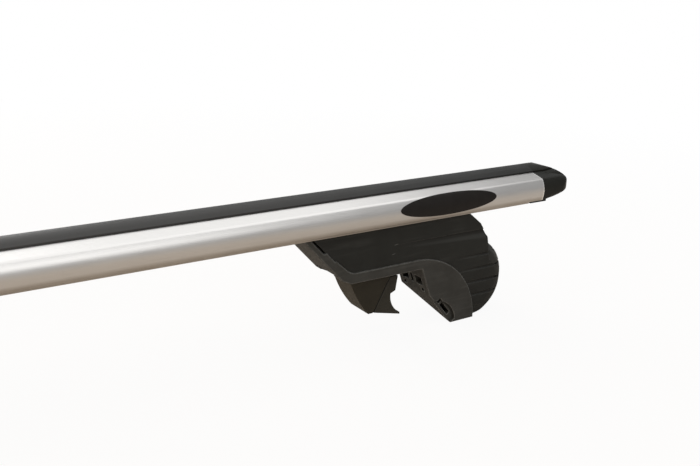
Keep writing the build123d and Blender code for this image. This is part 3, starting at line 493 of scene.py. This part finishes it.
# Pale edges, partly wear and partly a painted highlight, and painted shade in the badge's corners.
BADGE_WORN_AND_LIT_EDGE = (0.03, 0.028, 0.026)
BADGE_CORNER_SHADE = (0.006, 0.0055, 0.005)
BADGE_MIDDLE_HEIGHT = 0.1117
BADGE_HALF_HEIGHT = 0.0092
BADGE_THICKNESS = 0.00059
BADGE_ROUND = 0.0003
BADGE_EASE = 0.3
BADGE_RINGS = 24
BADGE_STEPS = 128
FRONT_CORNER = (-0.0267, 0.1016)
FRONT_BULGE = (-0.028, 0.110)
FRONT_SHOULDER = (-0.0245, 0.1194)
FRONT_SEAT = (-0.0118, 0.1235)
FRONT_ROUND = 0.0011
FRONT_STEPS = 60
SHOULDER_STEPS = 10

badge_plastic = moulded_plastic(
    "badge_plate_plastic", BADGE_BLACK, BADGE_BLACK_LIGHT, BADGE_WORN_AND_LIT_EDGE, satin=(0.34, 0.44), grain=3500.0,
    grain_depth=0.00001, gloss=0.1, edge_round=0.0003, rub=0.5, scuffs=0.08, shade_colour=BADGE_CORNER_SHADE)


def bar_front():
    """Points of the bar's front in Y and Z: up its bulge, over the rounded shoulder and along the slope."""
    (y1, z1), (y2, z2), (y3, z3) = FRONT_CORNER, FRONT_BULGE, FRONT_SHOULDER
    scale = 2 * (y1 * (z2 - z3) + y2 * (z3 - z1) + y3 * (z1 - z2))
    squares = (y1 * y1 + z1 * z1, y2 * y2 + z2 * z2, y3 * y3 + z3 * z3)
    middle_y = (squares[0] * (z2 - z3) + squares[1] * (z3 - z1) + squares[2] * (z1 - z2)) / scale
    middle_z = (squares[0] * (y3 - y2) + squares[1] * (y1 - y3) + squares[2] * (y2 - y1)) / scale
    radius = math.hypot(y1 - middle_y, z1 - middle_z)
    low = math.atan2(z1 - middle_z, middle_y - y1)
    high = math.atan2(z3 - middle_z, middle_y - y3) - FRONT_ROUND / radius
    turns = [low + (high - low) * step / FRONT_STEPS for step in range(FRONT_STEPS + 1)]
    line = [Vector((middle_y - radius * math.cos(turn), middle_z + radius * math.sin(turn)))
            for turn in turns]
    shoulder, seat = Vector(FRONT_SHOULDER), Vector(FRONT_SEAT)
    start, end = line[-1], shoulder + (seat - shoulder).normalized() * FRONT_ROUND
    shares = [step / SHOULDER_STEPS for step in range(1, SHOULDER_STEPS + 1)]
    line += [start * (1 - part) ** 2 + shoulder * (2 * part * (1 - part)) + end * part ** 2
             for part in shares]
    return line + [end.lerp(seat, part) for part in shares]


def place_on_front(line, length, lift):
    """The point at a length along the front, lifted off it square to the surface."""
    for start, end in zip(line, line[1:]):
        run = (end - start).length
        if length <= run:
            break
        length -= run
    along = (end - start).normalized()
    return start + along * length + Vector((-along.y, along.x)) * lift


badge_line = bar_front()
middle_length = 0.0
for start, end in zip(badge_line, badge_line[1:]):
    if end.y > BADGE_MIDDLE_HEIGHT:
        break
    middle_length += (end - start).length
badge_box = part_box("badge_oval")
badge_middle = (badge_box[0][0] + badge_box[1][0]) / 2
badge_half = (badge_box[1][0] - badge_box[0][0]) / 2
rings = [(step / BADGE_RINGS, BADGE_THICKNESS) for step in range(1, BADGE_RINGS)]
eased = BADGE_EASE * BADGE_ROUND
rings += [(1 - eased / BADGE_HALF_HEIGHT, BADGE_THICKNESS - eased)]
rings += [(1.0, BADGE_THICKNESS - BADGE_ROUND), (1.0, 0.0)]
rings += [(step / BADGE_RINGS, 0.0) for step in range(BADGE_RINGS - 1, 0, -1)]
badge_points = [(badge_middle, *place_on_front(badge_line, middle_length, BADGE_THICKNESS))]
badge_faces = []
for index, (share, lift) in enumerate(rings):
    for step in range(BADGE_STEPS):
        turn = 2 * math.pi * step / BADGE_STEPS
        length = middle_length + BADGE_HALF_HEIGHT * share * math.sin(turn)
        x = badge_middle + badge_half * share * math.cos(turn)
        badge_points.append((x, *place_on_front(badge_line, length, lift)))
        after = (step + 1) % BADGE_STEPS
        ring = 1 + index * BADGE_STEPS
        inner = ring - BADGE_STEPS
        if index == 0:
            badge_faces.append((0, ring + step, ring + after))
        else:
            badge_faces.append((inner + step, ring + step, ring + after, inner + after))
back = len(badge_points)
badge_points.append((badge_middle, *place_on_front(badge_line, middle_length, 0.0)))
last = back - BADGE_STEPS
badge_faces += [(back, last + (step + 1) % BADGE_STEPS, last + step) for step in range(BADGE_STEPS)]
badge_mesh = bpy.data.meshes.new("badge_plate")
badge_mesh.from_pydata(badge_points, [], badge_faces)
badge = bpy.data.objects.new("badge_plate", badge_mesh)
bpy.context.scene.collection.objects.link(badge)
finished(badge, badge_plastic)
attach(badge, "bar")
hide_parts("badge_oval")


# Foot bases: the load-bearing mouldings of glass-filled plastic, each held under the bar by two bolts. They
# are lighter, warmer and rougher than the covers, with pale edges along the band and the outer jaw that are
# partly wear and partly a painted highlight, and painted shade in their corners.
FOOT_GREY = (0.0255, 0.0254, 0.0232)
FOOT_GREY_LIGHT = (0.0425, 0.0424, 0.0395)
# Pale edges, partly wear and partly a painted highlight, and painted shade in the corners.
FOOT_WORN_AND_LIT_EDGE = (0.17, 0.172, 0.168)
FOOT_CORNER_SHADE = (0.014, 0.0133, 0.0113)

foot_plastic = moulded_plastic(
    "foot_base_plastic", FOOT_GREY, FOOT_GREY_LIGHT, FOOT_WORN_AND_LIT_EDGE, satin=(0.6, 0.78), grain=1300.0,
    grain_depth=0.00008, gloss=0.16, edge_round=0.0013, rub=0.9, scuffs=0.12, shade_colour=FOOT_CORNER_SHADE)
put_on(foot_plastic, "foot_base_right", "foot_base_left")


# Foot covers: smooth near-black shells snapped over the bases, with a ribbed round end to grip. Light is
# painted on their upward ledges and shade in their corners, grooves and recess, and two short pale scratches
# cross the front panel of the right one.
COVER_BLACK = (0.0080, 0.0086, 0.0078)
COVER_BLACK_LIGHT = (0.0145, 0.0154, 0.0141)
# Pale edges, partly wear and partly a painted highlight, and painted shade in the corners, grooves and
# recess.
COVER_WORN_AND_LIT_EDGE = (0.085, 0.087, 0.082)
COVER_CORNER_SHADE = (0.002, 0.002, 0.0018)
COVER_SHADE_OPEN = (0.97, 0.7)
COVER_SHADE_REACH = 0.004
# Painted light on the upward ledges.
LEDGE_TILT = (0.04, 0.36)
LEDGE_PAINTED_LIGHT = 0.2
GROOVE_HEIGHTS = (0.0089, 0.0211, 0.0333, 0.0455, 0.0577)
GROOVE_WIDTH = 0.003
GROOVE_DEPTH = 0.0009
GROOVE_RUN = (0.502, 0.546)
GROOVE_CUTS = (-0.5, -0.35, -0.18, 0.0, 0.18, 0.35, 0.5)
GROOVE_SIDES = (0.35, 1.0)
GROOVE_FADE_CUTS = 8
GROOVE_MARGIN = 0.001
CUT_WITHIN = 0.000001
RECESS_TOP = 0.081
RECESS_LOW = ((0.445, 0.081), (0.46, 0.076), (0.544, 0.0718), (0.56, 0.0718))
RECESS_RUN = (0.445, 0.54)
RECESS_DEPTH = 0.00175
RECESS_AS_DRAWN = 0.00125
RECESS_CUTS = (0.15, 0.3, 0.45, 0.6)
SCRATCHES = ((0.4457, 0.0815, 0.12), (0.4432, 0.0737, 0.2))
SCRATCH_LENGTH = 0.0045
SCRATCH_WIDTH = 0.0007
SCRATCH_ENDS = (0.5, 0.25)
SCRATCH_SIDES = (0.5, 0.15)
SCRATCH_FRONT = (-0.012, -0.016)
SCRATCH_GRAIN = 1400.0
SCRATCH_GAPS = (0.3, 0.55)


def short_scratch_group():
    """A mask of one short scratch in the front face, by its middle and its slope along X."""
    group, given, out = new_group(
        "short_scratch", {"Middle x": 0.0, "Middle z": 0.0, "Slope": 0.0, "Length": 0.004, "Width": 0.0005},
        {"Mask": "NodeSocketFloat"})
    spot = piece_place(group)
    along = worked_out(group, "SUBTRACT", spot["X"], given["Middle x"])
    rise = worked_out(group, "MULTIPLY", along, given["Slope"])
    off = worked_out(group, "SUBTRACT", worked_out(group, "SUBTRACT", spot["Z"], given["Middle z"]), rise)
    ends = worked_out(group, "DIVIDE", worked_out(group, "ABSOLUTE", along, 0.0), given["Length"])
    sides = worked_out(group, "DIVIDE", worked_out(group, "ABSOLUTE", off, 0.0), given["Width"])
    length = ranged(group, ends, *SCRATCH_ENDS)
    line = worked_out(group, "MULTIPLY", length, ranged(group, sides, *SCRATCH_SIDES))
    front = ranged(group, spot["Y"], *SCRATCH_FRONT)
    broken = ranged(group, object_noise(group, SCRATCH_GRAIN, detail=2.0), *SCRATCH_GAPS)
    pale_marks = worked_out(group, "MULTIPLY", line, broken)
    group.links.new(worked_out(group, "MULTIPLY", pale_marks, front), out["Mask"])
    return group


def lit_side_group():
    """A mask of painted light on surfaces that face inboard or upwards, by the share of each."""
    group, given, out = new_group(
        "facing_light", {"Inboard": 0.0, "Upward": 1.0, "Start": 0.0, "Full": 1.0, "Amount": 0.2},
        {"Mask": "NodeSocketFloat"})
    normal = add_node(group, "ShaderNodeNewGeometry").outputs["Normal"]
    facing = joined(group, "ShaderNodeSeparateXYZ", {"Vector": normal}).outputs
    end = worked_out(group, "SIGN", piece_place(group)["X"], 0.0)
    outboard = worked_out(group, "MULTIPLY", facing["X"], end)
    upward = worked_out(group, "MULTIPLY", facing["Z"], given["Upward"])
    turned = worked_out(group, "SUBTRACT", upward, worked_out(group, "MULTIPLY", outboard, given["Inboard"]))
    # Painted light: lighter where the surface faces inboard or upwards.
    painted_light = ranged(group, turned, given["Start"], given["Full"], 0.0, given["Amount"])
    group.links.new(painted_light, out["Mask"])
    return group


short_scratch = short_scratch_group()
facing_light = lit_side_group()


def cover_marks(tree):
    """The two short scratches of the right cover's front panel, and painted light on the upward ledges."""
    scratches = [place_group(tree, short_scratch, middle_x=x, middle_z=z, slope=slope, length=SCRATCH_LENGTH,
                             width=SCRATCH_WIDTH)["Mask"] for x, z, slope in SCRATCHES]
    start, full = LEDGE_TILT
    painted_light = place_group(tree, facing_light, inboard=0.0, upward=1.0, start=start, full=full, amount=LEDGE_PAINTED_LIGHT)
    return worked_out(tree, "MAXIMUM", worked_out(tree, "MAXIMUM", *scratches), painted_light["Mask"])


cover_plastic = moulded_plastic(
    "foot_cover_plastic", COVER_BLACK, COVER_BLACK_LIGHT, COVER_WORN_AND_LIT_EDGE, satin=(0.5, 0.66), grain=2200.0,
    grain_depth=0.00004, gloss=0.18, edge_round=0.0011, rub=0.5, scuffs=0.14, shade_colour=COVER_CORNER_SHADE,
    marks=cover_marks, reach=COVER_SHADE_REACH, openness=COVER_SHADE_OPEN)


def groove_depth(place, face):
    """How deep the grip grooves go at a place on a panel: they fade out inboard."""
    if abs(place.y) < face - GROOVE_DEPTH - JOIN_WITHIN:
        return 0.0
    rise = softly(abs(place.x), *GROOVE_RUN)
    off = min(abs(place.z - height) for height in GROOVE_HEIGHTS) / (GROOVE_WIDTH / 2)
    return GROOVE_DEPTH * rise * (1 - softly(off, *GROOVE_SIDES))


def recess_rise(place):
    """How far up the recess a place is, from 0 on its lower edge to 1 on its top edge."""
    for (x, z), (next_x, next_z) in zip(RECESS_LOW, RECESS_LOW[1:]):
        if abs(place.x) <= next_x:
            break
    low = z + (next_z - z) * (abs(place.x) - x) / (next_x - x)
    return min(max((place.z - low) / max(RECESS_TOP - low, JOIN_WITHIN), 0.0), 1.0)


def in_recess(place, face):
    """Whether a place lies in the recess or on its rim."""
    inside = RECESS_LOW[0][0] - JOIN_WITHIN < abs(place.x) < RECESS_LOW[-1][0]
    level = RECESS_LOW[-1][1] - JOIN_WITHIN < place.z < RECESS_TOP + JOIN_WITHIN
    return inside and level and abs(place.y) > face - RECESS_AS_DRAWN


def cut_across(shape, faces, place, way):
    """Cuts faces of a shape along a plane through a place, square to a way."""
    edges = dict.fromkeys(edge for part in faces for edge in part.edges)
    corners = dict.fromkeys(corner for part in faces for corner in part.verts)
    near = [*faces, *edges, *corners]
    bmesh.ops.bisect_plane(shape, geom=near, dist=CUT_WITHIN, plane_co=place, plane_no=way)


def scoop_recess(shape, sign, face):
    """Makes the recess deepest under the shoulder and runs it out to the panel along its lower edge."""
    (start, start_low), (end, end_low) = RECESS_LOW[1:3]
    for share in RECESS_CUTS:
        first = Vector((sign * start, 0, start_low + (RECESS_TOP - start_low) * share))
        last = Vector((sign * end, 0, end_low + (RECESS_TOP - end_low) * share))
        way = (last - first).cross(Vector((0, 1, 0))).normalized()
        faces = [part for part in shape.faces if all(in_recess(corner.co, face) for corner in part.verts)]
        cut_across(shape, faces, first, way)
    for point in shape.verts:
        if in_recess(point.co, face) and abs(point.co.y) < face - CUT_WITHIN:
            run = (abs(point.co.x) - RECESS_RUN[0]) / (RECESS_RUN[1] - RECESS_RUN[0])
            depth = RECESS_DEPTH * min(run, 1.0) * softly(recess_rise(point.co), 0.0, RECESS_CUTS[-1])
            point.co.y = math.copysign(face - depth, point.co.y)
    bmesh.ops.remove_doubles(shape, verts=shape.verts, dist=JOIN_WITHIN)


def grooved_cover(side):
    """The cover of one foot, from its CAD mesh: a scooped recess, and grip grooves along both panels."""
    name = "foot_cover_" + side
    mesh = nodes[name].data.copy()
    mesh.name = "grooved_cover_" + side
    sign = 1 if side == "right" else -1
    face = max(abs(corner[1]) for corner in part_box(name))
    shape = bmesh.new()
    shape.from_mesh(mesh)
    bmesh.ops.remove_doubles(shape, verts=shape.verts, dist=JOIN_WITHIN)
    levels = [height + off * GROOVE_WIDTH for height in GROOVE_HEIGHTS for off in GROOVE_CUTS]
    cuts = [((0, 0, level), (0, 0, 1)) for level in levels]
    start, end = GROOVE_RUN
    runs = [start + (end - start) * step / GROOVE_FADE_CUTS for step in range(GROOVE_FADE_CUTS + 1)]
    cuts += [((sign * run, 0, 0), (sign, 0, 0)) for run in runs]
    for place, way in cuts:
        faces = [part for part in shape.faces
                 if max(abs(corner.co.x) for corner in part.verts) > start - GROOVE_MARGIN]
        cut_across(shape, faces, place, way)
    for point in shape.verts:
        depth = groove_depth(point.co, face)
        if depth > 0 and abs(point.co.y) > face - depth:
            point.co.y = math.copysign(face - depth, point.co.y)
    scoop_recess(shape, sign, face)
    bmesh.ops.triangulate(shape, faces=shape.faces)
    bmesh.ops.dissolve_degenerate(shape, edges=shape.edges, dist=JOIN_WITHIN)
    bmesh.ops.triangulate(shape, faces=shape.faces)
    shape.to_mesh(mesh)
    shape.free()
    cover = bpy.data.objects.new("grooved_cover_" + side, mesh)
    bpy.context.scene.collection.objects.link(cover)
    finished(cover, cover_plastic)
    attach(cover, "foot_" + side)
    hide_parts(name)


for side in SIDES:
    grooved_cover(side)


# Inner jaws and their claws: dark mouldings of glass-filled plastic that slide under the foot, with the claw
# screwed on along a slanted seam. Shade is painted along the seam and where the parts meet, and light is
# painted on the faces that look inboard.
JAW_BROWN = (0.0180, 0.0157, 0.0108)
JAW_BROWN_LIGHT = (0.029, 0.0256, 0.0181)
# Pale edges of the jaw and the claw, partly wear and partly a painted highlight.
JAW_WORN_AND_LIT_EDGE = (0.09, 0.082, 0.066)
CLAW_GREY = (0.0205, 0.0190, 0.0151)
CLAW_GREY_LIGHT = (0.0305, 0.0285, 0.0229)
CLAW_WORN_AND_LIT_EDGE = (0.10, 0.094, 0.079)
# Painted shade along the seam and where the parts meet.
JAW_SEAM_SHADE = (0.004, 0.0035, 0.0025)
SEAM_REACH = 0.0026
SEAM_OPEN = (0.95, 0.62)
# Painted light on the faces that look inboard.
JAW_INBOARD_LIGHT = 0.24
JAW_LIGHT_TURN = (0.35, 0.85)

seam_shade = shade_mask_group("seam_shade", own=False)


def jaw_inboard_light(tree):
    """Painted light on the faces of the jaws that look inboard."""
    start, full = JAW_LIGHT_TURN
    painted_light = place_group(tree, facing_light, inboard=1.0, upward=0.0, start=start, full=full, amount=JAW_INBOARD_LIGHT)
    return painted_light["Mask"]


jaw_plastic = moulded_plastic(
    "inner_jaw_plastic", JAW_BROWN, JAW_BROWN_LIGHT, JAW_WORN_AND_LIT_EDGE, satin=(0.55, 0.72), grain=1600.0,
    grain_depth=0.00006, gloss=0.16, edge_round=0.0009, rub=0.28, scuffs=0.15, shade_colour=JAW_SEAM_SHADE,
    marks=jaw_inboard_light, corners=seam_shade, reach=SEAM_REACH, openness=SEAM_OPEN)
claw_plastic = moulded_plastic(
    "jaw_claw_plastic", CLAW_GREY, CLAW_GREY_LIGHT, CLAW_WORN_AND_LIT_EDGE, satin=(0.55, 0.72), grain=1600.0,
    grain_depth=0.00006, gloss=0.16, edge_round=0.0009, rub=0.4, scuffs=0.15, shade_colour=JAW_SEAM_SHADE,
    corners=seam_shade, reach=SEAM_REACH, openness=SEAM_OPEN)
for side in SIDES:
    put_on(jaw_plastic, "inner_jaw_" + side)
    put_on(claw_plastic, "jaw_claw_" + side)


# Saddle pads: black rubber mouldings laid between the feet and the bar, and pressed tight by the bolts. They
# keep the bar from creeping and its finish from being scratched.
SADDLE_BLACK = (0.010, 0.010, 0.0098)
SADDLE_BLACK_LIGHT = (0.017, 0.017, 0.0165)
# Pale edges, partly wear and partly a painted highlight, and painted shade in the pad's corners.
SADDLE_WORN_AND_LIT_EDGE = (0.03, 0.03, 0.03)
SADDLE_CORNER_SHADE = (0.006, 0.006, 0.0055)

saddle_rubber = moulded_plastic(
    "saddle_pad_rubber", SADDLE_BLACK, SADDLE_BLACK_LIGHT, SADDLE_WORN_AND_LIT_EDGE, satin=(0.75, 0.9), grain=900.0,
    grain_depth=0.0001, gloss=0.15, edge_round=0.0003, rub=0.2, scuffs=0.05, shade_colour=SADDLE_CORNER_SHADE)
put_on(saddle_rubber, "saddle_pad_right", "saddle_pad_left")


# Bolts, nuts, washers and screws: zinc-plated steel with a cloudy grey skin. The long screws that draw the
# jaws together are headed blanks with a rolled thread, which runs out short of the clip and the washer.
ZINC_PALE = (0.56, 0.565, 0.58)
ZINC_DULL = (0.36, 0.365, 0.38)
ZINC_SATIN = (0.32, 0.55)
ZINC_GRAIN = 1800.0
ZINC_GRAIN_DEPTH = 0.00001
ZINC_CLOUDS = 160.0
ZINC_EDGE_ROUND = 0.0003
FASTENERS = ("slot_bolts", "slot_washers", "slot_nuts", "claw_screws", "jaw_nut", "screw_washer",
             "screw_clip")
THREAD_PITCH = 0.00125
THREAD_TURNS = 91
THREAD_CREST = 0.004
THREAD_DEPTH = 0.00068
THREAD_STEPS = ((0.0, 0.0), (0.125, 0.0), (0.4375, 1.0), (0.6875, 1.0))
THREAD_ANGLES = 28
THREAD_RUN_OUT = 2
TAIL_CHAMFER = 0.0008
TAIL_PLAIN = 0.0002
PLAIN_SHANK = 0.0008
NECK_CUT_WITHIN = 0.0000001


def zinc_skin(tree):
    """The plating's fine grain and clouds."""
    return place_group(tree, moulded_grain, fineness=ZINC_GRAIN, patches=ZINC_CLOUDS)


zinc_steel, tree, shader, skin = new_finish("zinc_plated_steel", zinc_skin, ZINC_SATIN)
edge = place_group(tree, rounded_edges, radius=ZINC_EDGE_ROUND)
tree.links.new(mixed_colour(tree, skin["Tone"], ZINC_DULL, ZINC_PALE), shader.inputs["Base Color"])
relief(tree, shader, skin["Height"], ZINC_GRAIN_DEPTH, edge)
shader.inputs["Metallic"].default_value = 1.0
for side in SIDES:
    for fastener in FASTENERS:
        put_on(zinc_steel, fastener + "_" + side)


def threaded_screw(side):
    """One clamp screw: the head and neck of its CAD mesh, with a threaded shank wound on to them."""
    name = "clamp_screw_" + side
    low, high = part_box(name)
    sign = 1 if side == "right" else -1
    height = (low[2] + high[2]) / 2
    tail = min(abs(low[0]), abs(high[0]))
    start = tail + TAIL_CHAMFER + TAIL_PLAIN
    neck = start + (THREAD_TURNS + 1) * THREAD_PITCH + PLAIN_SHANK
    mesh = nodes[name].data.copy()
    mesh.name = "threaded_screw_" + side
    shape = bmesh.new()
    shape.from_mesh(mesh)
    bmesh.ops.remove_doubles(shape, verts=shape.verts, dist=JOIN_WITHIN)
    whole = shape.verts[:] + shape.edges[:] + shape.faces[:]
    bmesh.ops.bisect_plane(shape, geom=whole, dist=NECK_CUT_WITHIN, plane_co=(sign * neck, 0, 0),
                           plane_no=(sign, 0, 0), clear_inner=True)
    neck_edges = [edge for edge in shape.edges if edge.is_boundary]

    def corner(reach, radius, angle):
        """A new point at a reach along the screw, a radius from its axis and a step round it."""
        turn = 2 * math.pi * angle / THREAD_ANGLES
        across, up = radius * math.cos(turn), radius * math.sin(turn)
        return shape.verts.new((sign * reach, sign * across, height + up))

    def ring(reach, radius):
        """New points all round the screw."""
        return [corner(reach, radius, angle) for angle in range(THREAD_ANGLES)]

    def thread_line(angle, turns):
        """New points along the screw at one step round it: crest, flank, root and flank of each turn."""
        line = []
        for step in range(turns * len(THREAD_STEPS) + 1):
            share, cut = THREAD_STEPS[step % len(THREAD_STEPS)]
            wound = step // len(THREAD_STEPS) + share + angle / THREAD_ANGLES
            fade = min(max(min(wound, (THREAD_TURNS - wound) / THREAD_RUN_OUT), 0.0), 1.0)
            line.append(corner(start + wound * THREAD_PITCH, THREAD_CREST - THREAD_DEPTH * cut * fade, angle))
        return line

    def band(first, second):
        """Faces between two rings."""
        for index in range(len(first)):
            after = (index + 1) % len(first)
            shape.faces.new((first[index], first[after], second[after], second[index]))

    pitch = len(THREAD_STEPS)
    thread = [thread_line(angle, THREAD_TURNS + (angle == 0)) for angle in range(THREAD_ANGLES)]
    closing = thread[0][pitch:]
    for line, beside in zip(thread, thread[1:] + [closing]):
        for step in range(THREAD_TURNS * pitch):
            shape.faces.new((line[step], beside[step], beside[step + 1], line[step + 1]))
    tip = ring(tail, THREAD_CREST - TAIL_CHAMFER)
    rim = ring(tail + TAIL_CHAMFER, THREAD_CREST)
    plain = ring(neck - PLAIN_SHANK / 2, THREAD_CREST)
    shape.faces.new(tip)
    band(tip, rim)
    for angle in range(THREAD_ANGLES - 1):
        shape.faces.new((rim[angle], rim[angle + 1], thread[angle + 1][0], thread[angle][0]))
    shape.faces.new((rim[-1], rim[0], *thread[0][:pitch + 1], thread[-1][0]))
    for angle in range(1, THREAD_ANGLES - 1):
        shape.faces.new((thread[angle][-1], thread[angle + 1][-1], plain[angle + 1], plain[angle]))
    shape.faces.new((thread[-1][-1], thread[0][-1], plain[0], plain[-1]))
    shape.faces.new((thread[1][-1], plain[1], plain[0], *reversed(thread[0][-pitch - 1:])))
    plain_edges = [shape.edges.get((plain[angle - 1], plain[angle])) for angle in range(THREAD_ANGLES)]
    bmesh.ops.bridge_loops(shape, edges=neck_edges + plain_edges)
    bmesh.ops.triangulate(shape, faces=[face for face in shape.faces if len(face.verts) > 4])
    bmesh.ops.recalc_face_normals(shape, faces=shape.faces)
    shape.to_mesh(mesh)
    shape.free()
    screw = bpy.data.objects.new("threaded_screw_" + side, mesh)
    bpy.context.scene.collection.objects.link(screw)
    finished(screw, zinc_steel)
    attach(screw, "screw_" + side)
    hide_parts(name)


for side in SIDES:
    threaded_screw(side)


# Floor: a pale warm matt sheet, laid flat under the feet. It looks nearly white, fades out to the white
# surroundings about a metre out, and sends a warm light up to the undersides.
FLOOR_RADIUS = 8.0
FLOOR_CORNERS = 64
FLOOR_PALE = (0.58, 0.50, 0.42)
FLOOR_FADE = (0.45, 1.6)
WHITE_SEEN = (0.93, 1.0)
WHITE_MIRRORED = (0.05, 0.35)

floor_mesh = bpy.data.meshes.new("pale_floor")
turns = [2 * math.pi * step / FLOOR_CORNERS for step in range(FLOOR_CORNERS)]
ring = [(FLOOR_RADIUS * math.cos(turn), FLOOR_RADIUS * math.sin(turn), 0.0) for turn in turns]
floor_mesh.from_pydata(ring, [], [tuple(range(FLOOR_CORNERS))])
floor = bpy.data.objects.new("pale_floor", floor_mesh)
bpy.context.scene.collection.objects.link(floor)


def ray_share(tree, seen, mirrored):
    """One value for rays from the camera or through glass, another for mirrored ones, and 0 for others."""
    path = add_node(tree, "ShaderNodeLightPath").outputs
    direct = worked_out(tree, "MAXIMUM", path["Is Camera Ray"], path["Is Transmission Ray"])
    glossy = worked_out(tree, "MULTIPLY", path["Is Glossy Ray"], mirrored)
    return worked_out(tree, "MAXIMUM", worked_out(tree, "MULTIPLY", direct, seen), glossy)


floor_finish = bpy.data.materials.new("pale_floor_finish")
floor_finish.use_nodes = True
tree = floor_finish.node_tree
tree.nodes.clear()
matt = joined(tree, "ShaderNodeBsdfDiffuse", {"Color": (*FLOOR_PALE, 1.0)})
white = joined(tree, "ShaderNodeEmission", {"Strength": 1.0})
spot = add_node(tree, "ShaderNodeTexCoord").outputs["Object"]
distance = joined(tree, "ShaderNodeVectorMath", {0: spot}, operation="LENGTH").outputs["Value"]
seen = ranged(tree, distance, *FLOOR_FADE, *WHITE_SEEN)
mirrored = ranged(tree, distance, *FLOOR_FADE, *WHITE_MIRRORED)
share = ray_share(tree, seen, mirrored)
mix = joined(tree, "ShaderNodeMixShader", {0: share, 1: matt.outputs["BSDF"], 2: white.outputs["Emission"]})
joined(tree, "ShaderNodeOutputMaterial", {"Surface": mix.outputs["Shader"]})
floor_mesh.materials.append(floor_finish)


# Light: a soft white room with four wide lamps. One hangs overhead and one stands behind, for the bright band
# along the bar; a weaker one stands far in front, and a warm one far off to the left.
ROOM_LIGHT = 0.3
ROOM_MIRRORED = 0.5
LAMP_PLACE = (0.5, 0.15, 1.25)
LAMP_SIZE = (2.1, 2.6)
LAMP_WATTS = 23.0
LAMP_COLOUR = (1.0, 0.995, 0.985)
BACK_PLACE = (-0.2, 1.7, 0.85)
BACK_SIZE = (1.6, 1.2)
BACK_WATTS = 24.0
FRONT_PLACE = (0.35, -2.2, 1.2)
FRONT_SIZE = (2.2, 1.0)
FRONT_WATTS = 13.0
WARM_PLACE = (-2.0, -0.9, 0.7)
WARM_SIZE = (2.2, 1.4)
WARM_WATTS = 25.0
WARM_COLOUR = (1.0, 0.85, 0.68)
FOOT_MIDDLE = (0.44, 0.0, 0.06)

world = bpy.data.worlds.new("white_room")
bpy.context.scene.world = world
world.use_nodes = True
tree = world.node_tree
level = worked_out(tree, "MAXIMUM", ray_share(tree, 1.0, ROOM_MIRRORED), ROOM_LIGHT)
tree.links.new(level, tree.nodes["Background"].inputs["Strength"])
tree.nodes["Background"].inputs["Color"].default_value = (1.0, 1.0, 1.0, 1.0)


def soft_lamp(name, place, aim, size, watts, colour):
    """A rectangular lamp that points at a place."""
    lamp = bpy.data.lights.new(name, "AREA")
    lamp.shape = "RECTANGLE"
    lamp.size, lamp.size_y = size
    lamp.energy = watts
    lamp.color = colour
    holder = bpy.data.objects.new(name, lamp)
    holder.location = place
    holder.rotation_euler = (Vector(aim) - Vector(place)).to_track_quat("-Z", "Y").to_euler()
    bpy.context.scene.collection.objects.link(holder)


soft_lamp("overhead_lamp", LAMP_PLACE, (*LAMP_PLACE[:2], 0.0), LAMP_SIZE, LAMP_WATTS, LAMP_COLOUR)
soft_lamp("back_lamp", BACK_PLACE, FOOT_MIDDLE, BACK_SIZE, BACK_WATTS, LAMP_COLOUR)
soft_lamp("front_lamp", FRONT_PLACE, FOOT_MIDDLE, FRONT_SIZE, FRONT_WATTS, LAMP_COLOUR)
soft_lamp("warm_side_lamp", WARM_PLACE, FOOT_MIDDLE, WARM_SIZE, WARM_WATTS, WARM_COLOUR)


# Camera: the photograph's view of the right end, from in front, a little above and to the left of the foot.
# Its place, turn and focal length are those of a plain pinhole fitted to the photograph.
EYE = (0.0862, -0.5110, 0.2802)
LOOK_AZIMUTH = 32.63
LOOK_ELEVATION = -17.32
LOOK_ROLL = 0.93
FOCAL_PIXELS = 791.5
PICTURE_WIDTH = 700.0
SENSOR_WIDTH = 36.0
NEAREST_SEEN = 0.01

camera_data = bpy.data.cameras.new("photo_camera")
camera_data.sensor_width = SENSOR_WIDTH
camera_data.lens = FOCAL_PIXELS * SENSOR_WIDTH / PICTURE_WIDTH
camera_data.clip_start = NEAREST_SEEN
camera = bpy.data.objects.new("photo_camera", camera_data)
bpy.context.scene.collection.objects.link(camera)
turn = math.radians(LOOK_AZIMUTH)
rise = math.radians(LOOK_ELEVATION)
look = Vector((math.sin(turn) * math.cos(rise), math.cos(turn) * math.cos(rise), math.sin(rise)))
upright = look.to_track_quat("-Z", "Y").to_matrix()
tilt = Matrix.Rotation(math.radians(-LOOK_ROLL), 3, look)
camera.matrix_world = Matrix.Translation(EYE) @ (tilt @ upright).to_4x4()
bpy.context.scene.camera = camera
bpy.context.scene.view_settings.view_transform = "Standard"
